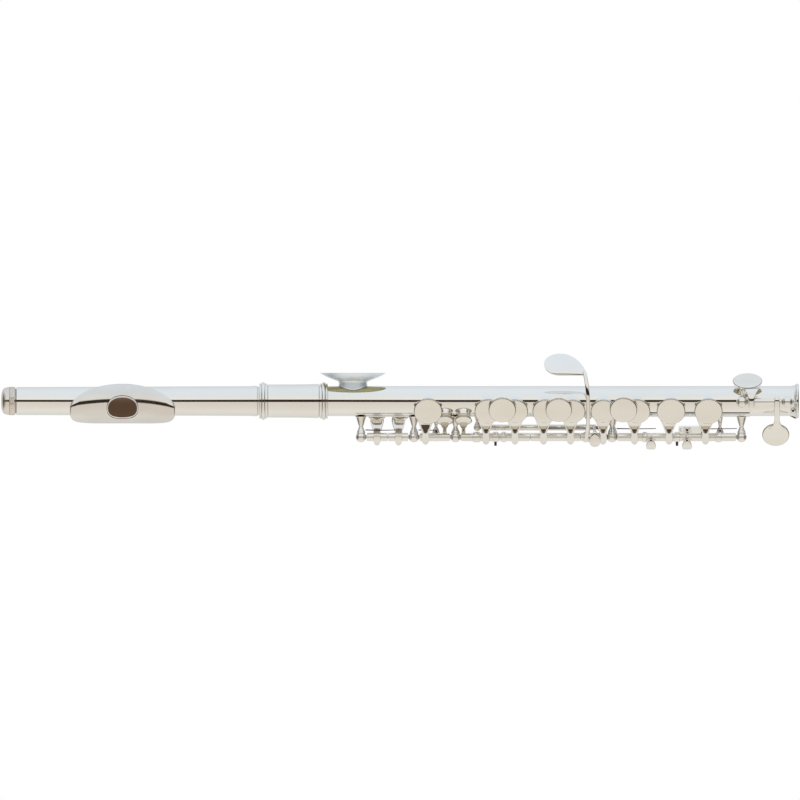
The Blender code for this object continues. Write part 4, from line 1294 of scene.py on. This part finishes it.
def touch_curve(reach, steps):
    """Curve of a finger plate in (image up, towards the camera) steps from its lower edge:
    a tight curl and then a gentle lean back. Returns (along, up, towards, lean)."""
    curl = 1.2
    rows = []
    up = towards = 0.0
    for i in range(steps + 1):
        along = reach * i / steps
        if along < curl:
            lean = radians(-10 + 26 * along / curl)
        else:
            lean = radians(16 + 22 * (along - curl) / (reach - curl))
        rows.append((along, up, towards, lean))
        up += reach / steps * cos(lean)
        towards -= reach / steps * sin(lean)
    return rows


def egg_touch(left, right, half_width):
    """Egg-shaped plate, curled at its lower edge and narrowing to its right end."""
    steps = 48
    sides = 64
    middle = left + (right - left) * 0.4
    thickness = 0.9
    drop = 3.8
    low_up, low_towards = 10.1, 10.4
    reach = half_width * 2
    curve = np.array(touch_curve(reach, 60))
    rings = []
    for i in range(steps + 1):
        share = 0.5 - 0.5 * cos(pi * (0.02 + 0.96 * i / steps))
        along = left + (right - left) * share
        span = middle - left if along < middle else (right - middle) * 1.03
        out = min(1.0, abs(along - middle) / span)
        half = half_width * sqrt(max(0.003, 1 - out ** 2))
        skew = -drop * max(0.0, (along - middle) / (right - middle)) ** 2
        ring = []
        for k in range(sides):
            across, rise = rounded(tau * k / sides, 0.3)
            thin = thickness * (1 - out ** 8) if out > 0.9 else thickness
            at = half_width + half * across + skew
            up = low_up + np.interp(at, curve[:, 0], curve[:, 1])
            towards = low_towards + np.interp(at, curve[:, 0], curve[:, 2])
            lean = np.interp(at, curve[:, 0], curve[:, 3])
            lift = thin / 2 * (rise - 1)
            up += lift * sin(lean)
            towards += lift * cos(lean)
            ring.append(place(along, *offset_of(up, towards)))
        rings.append(ring)
    return lofted(rings), TOUCH


def make_g_sharp_key():
    """Closed-standing key: egg touch on the far side, cup under the tube."""
    body = "g_sharp_key"
    at = key_station(body)
    over = [
        (-14.6, 6.5, 0.75, 0.8, -0.8), (-12.9, 7.0, 0.75, 0.9, -0.7), (-9.0, 9.0, 0.75, 1.0, -0.3),
        (-4.0, 10.5, 0.75, 1.0, 0.0), (1.0, 10.8, 0.75, 1.0, 0.0), (6.0, 10.2, 0.75, 1.0, -0.1),
        (11.0, 8.0, 0.75, 1.0, -0.7), (13.6, 6.0, 0.75, 1.0, -1.3), (15.0, 4.6, 0.7, 0.8, -1.9),
    ]
    under = [
        (-6.0, -7.43, 1.9, 0.5), (-7.95, -6.3, 1.9, 0.5), (-8.7, -4.9, 1.5, 0.8),
        (-8.8, -2.2, 0.75, 0.9), (-8.6, 1.6, 0.75, 0.9), (-8.9, 5.0, 0.75, 1.0),
        (-10.4, 7.6, 0.75, 1.0), (-12.4, 7.0, 0.75, 0.8),
    ]
    start = seam("g_key") + TUBE_GAP
    parts = [
        (pipe(MAIN, start, seam(body), HINGE, HINGE_BORE, collars_of(body)), KEYWORK),
        plain_bar(at, over),
        plain_bar(at, under),
        egg_touch(at - 17.65, at - 1.25, 5.0),
        cup(f"{body}_pad"),
    ]
    key_piece(body, parts)


def make_e_flat_key():
    """Closed-standing key at the foot: cup on the far side, round touch on the near one."""
    body = "e_flat_key"
    at = key_station(body)
    neck = end_of("e_flat_key") - 5.4
    arm_path = [
        (7.6, 6.8, 2.6, 0.8), (7.4, 8.0, 2.5, 0.9), (6.3, 9.5, 1.8, 0.9),
        (4.2, 10.75, 1.1, 0.9), (1.6, 11.1, 1.1, 0.9), (-0.8, 10.3, 0.45, 0.6),
    ]
    neck_path = [
        (5.6, 9.9, 0.8, 0.7), (4.2, 10.9, 1.0, 0.9), (1.8, 11.15, 1.1, 0.9),
        (-2.0, 10.2, 1.1, 0.9), (-5.0, 8.95, 1.15, 0.9), (-6.7, 8.4, 1.5, 0.9),
        (-7.8, 8.02, 2.2, 0.8), (-9.2, 7.6, 3.2, 0.7),
    ]
    start = middle_of("e_flat_post_upper") + 2.5
    end = middle_of("e_flat_post_lower") - 2.5
    collar = (at - 1.0, at + 1.2, 1.75)
    parts = [
        (pipe(FOOT_LINE, start, end, 1.5, 0.85, [collar]), KEYWORK),
        plain_bar(at, arm_path),
        plain_bar(neck, neck_path),
        disc_touch(neck - 0.5, -11.9, 5.8, 6.8, 5.4, radians(-16.0)),
        cup(f"{body}_pad"),
    ]
    key_piece(body, parts)


def make_trill_keys():
    """Two closed-standing trill keys, one on a tube around the other's rod."""
    arm_path = [
        (-6.4, 7.05, 1.6, 0.5), (-8.3, 5.9, 1.4, 0.8), (-9.9, 4.2, 0.8, 0.8),
        (-11.0, 2.4, 0.75, 0.8), (-12.4, 1.2, 0.75, 0.8), (-13.75, 1.05, 0.75, 0.6),
    ]
    touch_path = [
        (-15.9, 1.4, 1.0, 0.6), (-17.3, 2.6, 1.1, 0.8), (-18.0, 4.6, 1.25, 0.8),
        (-17.9, 6.2, 1.6, 0.9), (-17.0, 7.3, 1.95, 1.0), (-15.6, 7.95, 1.85, 1.0),
        (-14.4, 8.1, 1.4, 0.9), (-13.6, 8.0, 0.7, 0.6),
    ]
    thin_steel = 0.7
    # how far each touch sits before the far end of its key
    for body, before_end in (("d_sharp_trill_key", 14.8), ("d_trill_key", 2.1)):
        first, last = start_of(body), end_of(body)
        touch = last - before_end
        at = middle_of(f"{body}_pad")
        parts = [
            plain_bar(at, arm_path, SHADE),
            plain_bar(touch, touch_path),
            cup(f"{body}_pad", shaded=True),
        ]
        if body == "d_trill_key":
            parts.append((pipe(TRILL, at - 1.6, last - 0.1, THIN, THIN_BORE), KEYWORK))
        else:
            spans = [
                (first, last, thin_steel), (at - 1.3, at + 1.9, THIN), (touch - 2, touch + 2, THIN),
            ]
            for start, end, radius in spans:
                ends = (place(start, *TRILL), place(end, *TRILL))
                parts.append((rod(*ends, radius, 32), STEEL if radius < 1 else KEYWORK))
        key_piece(body, parts)


def make_side_lever():
    """Side lever: touch above the main hinges, finger reaching under the B-flat tail."""
    body = "side_b_flat_lever"
    touch_path = [
        (-10.2, 1.0, 0.6, 0.6), (-9.5, 2.8, 0.6, 0.8), (-9.3, 5.4, 0.6, 0.8, 0.2),
        (-10.3, 7.5, 0.7, 0.8, 0.5), (-11.6, 8.1, 1.5, 0.9, 0.6), (-13.2, 8.3, 2.15, 0.9, 0.6),
        (-14.9, 8.0, 2.2, 0.9, 0.6), (-16.3, 7.1, 1.5, 0.8, 0.6), (-16.9, 6.5, 0.7, 0.6, 0.6),
    ]
    finger_path = [
        (-11.2, -0.1, 0.8, 0.6), (-12.8, -1.6, 0.8, 0.8), (-15.2, -1.8, 0.8, 0.8),
        (-17.2, -0.6, 0.8, 0.8), (-17.4, 1.2, 0.8, 0.6),
    ]
    parts = [
        plain_bar(key_station(body), touch_path),
        plain_bar(key_station("b_flat_key"), finger_path),
        (pipe(SIDE, start_of(body), end_of(body), 1.2, 0.75), KEYWORK),
    ]
    key_piece(body, parts)


def make_screws():
    """Adjusting screws standing on the arms of the B-flat and E keys."""
    for node, body in (("adjusting_screw_left", "b_flat_key"), ("adjusting_screw_right", "e_key")):
        y, z = offsets(centre(node))
        out = Vector((0.0, *MAIN)).normalized()
        half, radius, sink = 0.8, 0.5, 0.45
        middle = Vector(place(middle_of(node), y, z)) - out * sink * MM
        solid = rod(middle - out * half * MM, middle + out * half * MM, radius, 24, 0.1)
        # the heads are drawn in the same near-black as the painted shade in recesses
        made = piece(f"{node}_head", [(solid, RECESS_SHADE)], body, [node])
        top = middle + out * half * MM
        ends = (top - Vector((MM, 0, 0)), top + Vector((MM, 0, 0)))
        carved(made, rod(*ends, SLOT, 8, 0.02))


def make_stopper():
    """Stopper inside the head: threaded stem with its plate, cork and nut."""
    def span(node):
        return start_of(node), end_of(node), half_height(node)

    start, end, radius = span("stopper_stem")
    stem = 1.0
    plate = 1.2
    pitch = 0.5
    profile = [(0.0, end), (radius, end), (radius, end - plate), (stem, end - plate)]
    at = end - plate - pitch
    while at > start + pitch:
        profile += [(stem, at), (stem - 0.15, at - pitch / 2)]
        at -= pitch
    profile += [(stem - 0.2, start), (0.0, start)]
    piece("stopper_stem_screw", [(turned_along(profile, 48), STEEL)], "stopper",
          ["stopper_stem"])
    start, end, radius = span("stopper_cork")
    bore = stem + 0.2
    profile = [(radius - 0.3, end), (radius, end - 0.3), (radius, start + 0.3),
               (radius - 0.3, start), (bore, start), (bore, end)]
    piece("stopper_cork_ring", [(turned_along(profile, 64, True), CORK)], "stopper",
          ["stopper_cork"])
    start, end, radius = span("stopper_nut")
    profile = [(radius - 0.2, end), (radius, end - 0.2), (radius, start + 0.2),
               (radius - 0.2, start), (bore, start), (bore, end)]
    piece("stopper_nut_disc", [(turned_along(profile, 64, True), KEYWORK)], "stopper",
          ["stopper_nut"])


# ---------------------------------------------------------------------------
# Studio

# the lights that stand around the tube, as screen colours
DUSK = (203, 203, 203)
CREAM = (222, 219, 211)
TAN = (213, 206, 195)
STRIP = (45, 35, 28)
IVORY = (231, 227, 219)
MIST = (219, 224, 226)
SKY = (218, 227, 235)
# where each of them is mirrored, in degrees from the camera towards the image top
STUDIO = [
    (-180, DUSK), (-85, CREAM), (-30, TAN), (-8, TAN), (-5.8, STRIP), (9, STRIP),
    (11.5, IVORY), (40, MIST), (90, SKY), (180, DUSK),
]
# share of that light left in directions that lean along the tube, by how far they lean
SIDEWAYS = [(0.0, 1.0), (0.62, 1.0), (0.80, 0.62), (0.92, 0.22), (1.0, 0.14)]
SILVER_SHARE = 0.93


def linear(colour):
    """Linear values of a screen colour, divided by what the silver itself takes away."""
    made = []
    for value in colour:
        share = value / 255
        made.append(((share + 0.055) / 1.055) ** 2.4 / SILVER_SHARE)
    return tuple(made)


def studio_colour(tree, direction):
    """Colour of the studio in a direction, by its angle about the tube."""
    shares = []
    for along in (UPWARDS, TOWARDS):
        dot = tree.nodes.new("ShaderNodeVectorMath")
        dot.operation = "DOT_PRODUCT"
        dot.inputs[1].default_value = along
        tree.links.new(direction, dot.inputs[0])
        shares.append(dot.outputs["Value"])
    angle = tree.nodes.new("ShaderNodeMath")
    angle.operation = "ARCTAN2"
    tree.links.new(shares[0], angle.inputs[0])
    tree.links.new(shares[1], angle.inputs[1])
    share = tree.nodes.new("ShaderNodeMapRange")
    share.inputs["From Min"].default_value = -pi
    share.inputs["From Max"].default_value = pi
    tree.links.new(angle.outputs["Value"], share.inputs["Value"])
    stops = [((degrees + 180) / 360, linear(colour)) for degrees, colour in STUDIO]
    around = ramp(tree, share.outputs["Result"], stops)
    apart = tree.nodes.new("ShaderNodeSeparateXYZ")
    tree.links.new(direction, apart.inputs["Vector"])
    lean = tree.nodes.new("ShaderNodeMath")
    lean.operation = "ABSOLUTE"
    tree.links.new(apart.outputs["X"], lean.inputs[0])
    left = [(position, (value, value ** 1.05, value ** 1.12)) for position, value in SIDEWAYS]
    return mixed(tree, 1.0, around, ramp(tree, lean.outputs["Value"], left), "MULTIPLY")


def make_world():
    """White to the camera, the studio to everything that mirrors it."""
    world = bpy.data.worlds.new("studio")
    bpy.context.scene.world = world
    world.use_nodes = True
    tree = world.node_tree
    background = tree.nodes["Background"]
    coords = tree.nodes.new("ShaderNodeTexCoord")
    rays = tree.nodes.new("ShaderNodeLightPath")
    around = studio_colour(tree, coords.outputs["Generated"])
    colour = mixed(tree, rays.outputs["Is Camera Ray"], around, grey(1.0))
    tree.links.new(colour, background.inputs["Color"])


def make_floor():
    """A pale floor that shows white and mirrors as the studio does."""
    half = 1.5
    sink = 0.6 * MM
    mesh = bpy.data.meshes.new("floor")
    corners = [(-half, -half), (half, -half), (half, half), (-half, half)]
    mesh.from_pydata([(x, y, -sink) for x, y in corners], [], [(0, 1, 2, 3)])
    material = bpy.data.materials.new("pale_floor")
    material.use_nodes = True
    tree = material.node_tree
    tree.nodes.remove(tree.nodes["Principled BSDF"])
    glow = tree.nodes.new("ShaderNodeEmission")
    rays = tree.nodes.new("ShaderNodeLightPath")
    geometry = tree.nodes.new("ShaderNodeNewGeometry")
    away = tree.nodes.new("ShaderNodeVectorMath")
    away.operation = "SCALE"
    away.inputs["Scale"].default_value = -1.0
    tree.links.new(geometry.outputs["Incoming"], away.inputs[0])
    around = studio_colour(tree, away.outputs["Vector"])
    colour = mixed(tree, rays.outputs["Is Camera Ray"], around, grey(1.0))
    tree.links.new(colour, glow.inputs["Color"])
    tree.links.new(glow.outputs["Emission"], tree.nodes["Material Output"].inputs["Surface"])
    mesh.materials.append(material)
    floor = bpy.data.objects.new("floor", mesh)
    bpy.context.scene.collection.objects.link(floor)


def make_light():
    """One wide soft lamp over the instrument; the silver mirrors only the studio."""
    lamp = bpy.data.lights.new("soft_lamp", "AREA")
    lamp.shape = "RECTANGLE"
    lamp.size = 1.0
    lamp.size_y = 0.6
    lamp.energy = 2.0
    light = bpy.data.objects.new("soft_lamp", lamp)
    light.location = UPWARDS * 0.35 + TOWARDS * 0.6
    light.rotation_euler = light.location.to_track_quat("Z", "Y").to_euler()
    light.visible_glossy = False
    bpy.context.scene.collection.objects.link(light)


VIEW_WIDTH = 0.320
VIEW_ABOVE_AXIS = 0.41 * MM


def make_camera():
    """Looks across the tube from above, without perspective."""
    camera = bpy.data.cameras.new("camera")
    camera.type = "ORTHO"
    camera.ortho_scale = VIEW_WIDTH
    camera.clip_end = 5.0
    obj = bpy.data.objects.new("camera", camera)
    right = Vector((1.0, 0.0, 0.0))
    target = Vector((0.0, AXIS_Y, AXIS_Z)) + UPWARDS * VIEW_ABOVE_AXIS
    turn = Matrix((right, UPWARDS, TOWARDS)).transposed().to_4x4()
    obj.matrix_world = Matrix.Translation(target + TOWARDS * 0.6) @ turn
    bpy.context.scene.collection.objects.link(obj)
    bpy.context.scene.camera = obj
    bpy.context.scene.view_settings.view_transform = "Standard"


make_head_tube()
make_riser()
make_lip_plate()
make_crown()
make_stopper()
make_barrel()
make_body_tube()
make_end_ring()
make_finger_rest()
make_ribs()
make_rods()
make_top_keys()
make_thumb_keys()
make_g_sharp_key()
make_e_flat_key()
make_trill_keys()
make_side_lever()
make_screws()
make_pads()
make_world()
make_floor()
make_light()
make_camera()
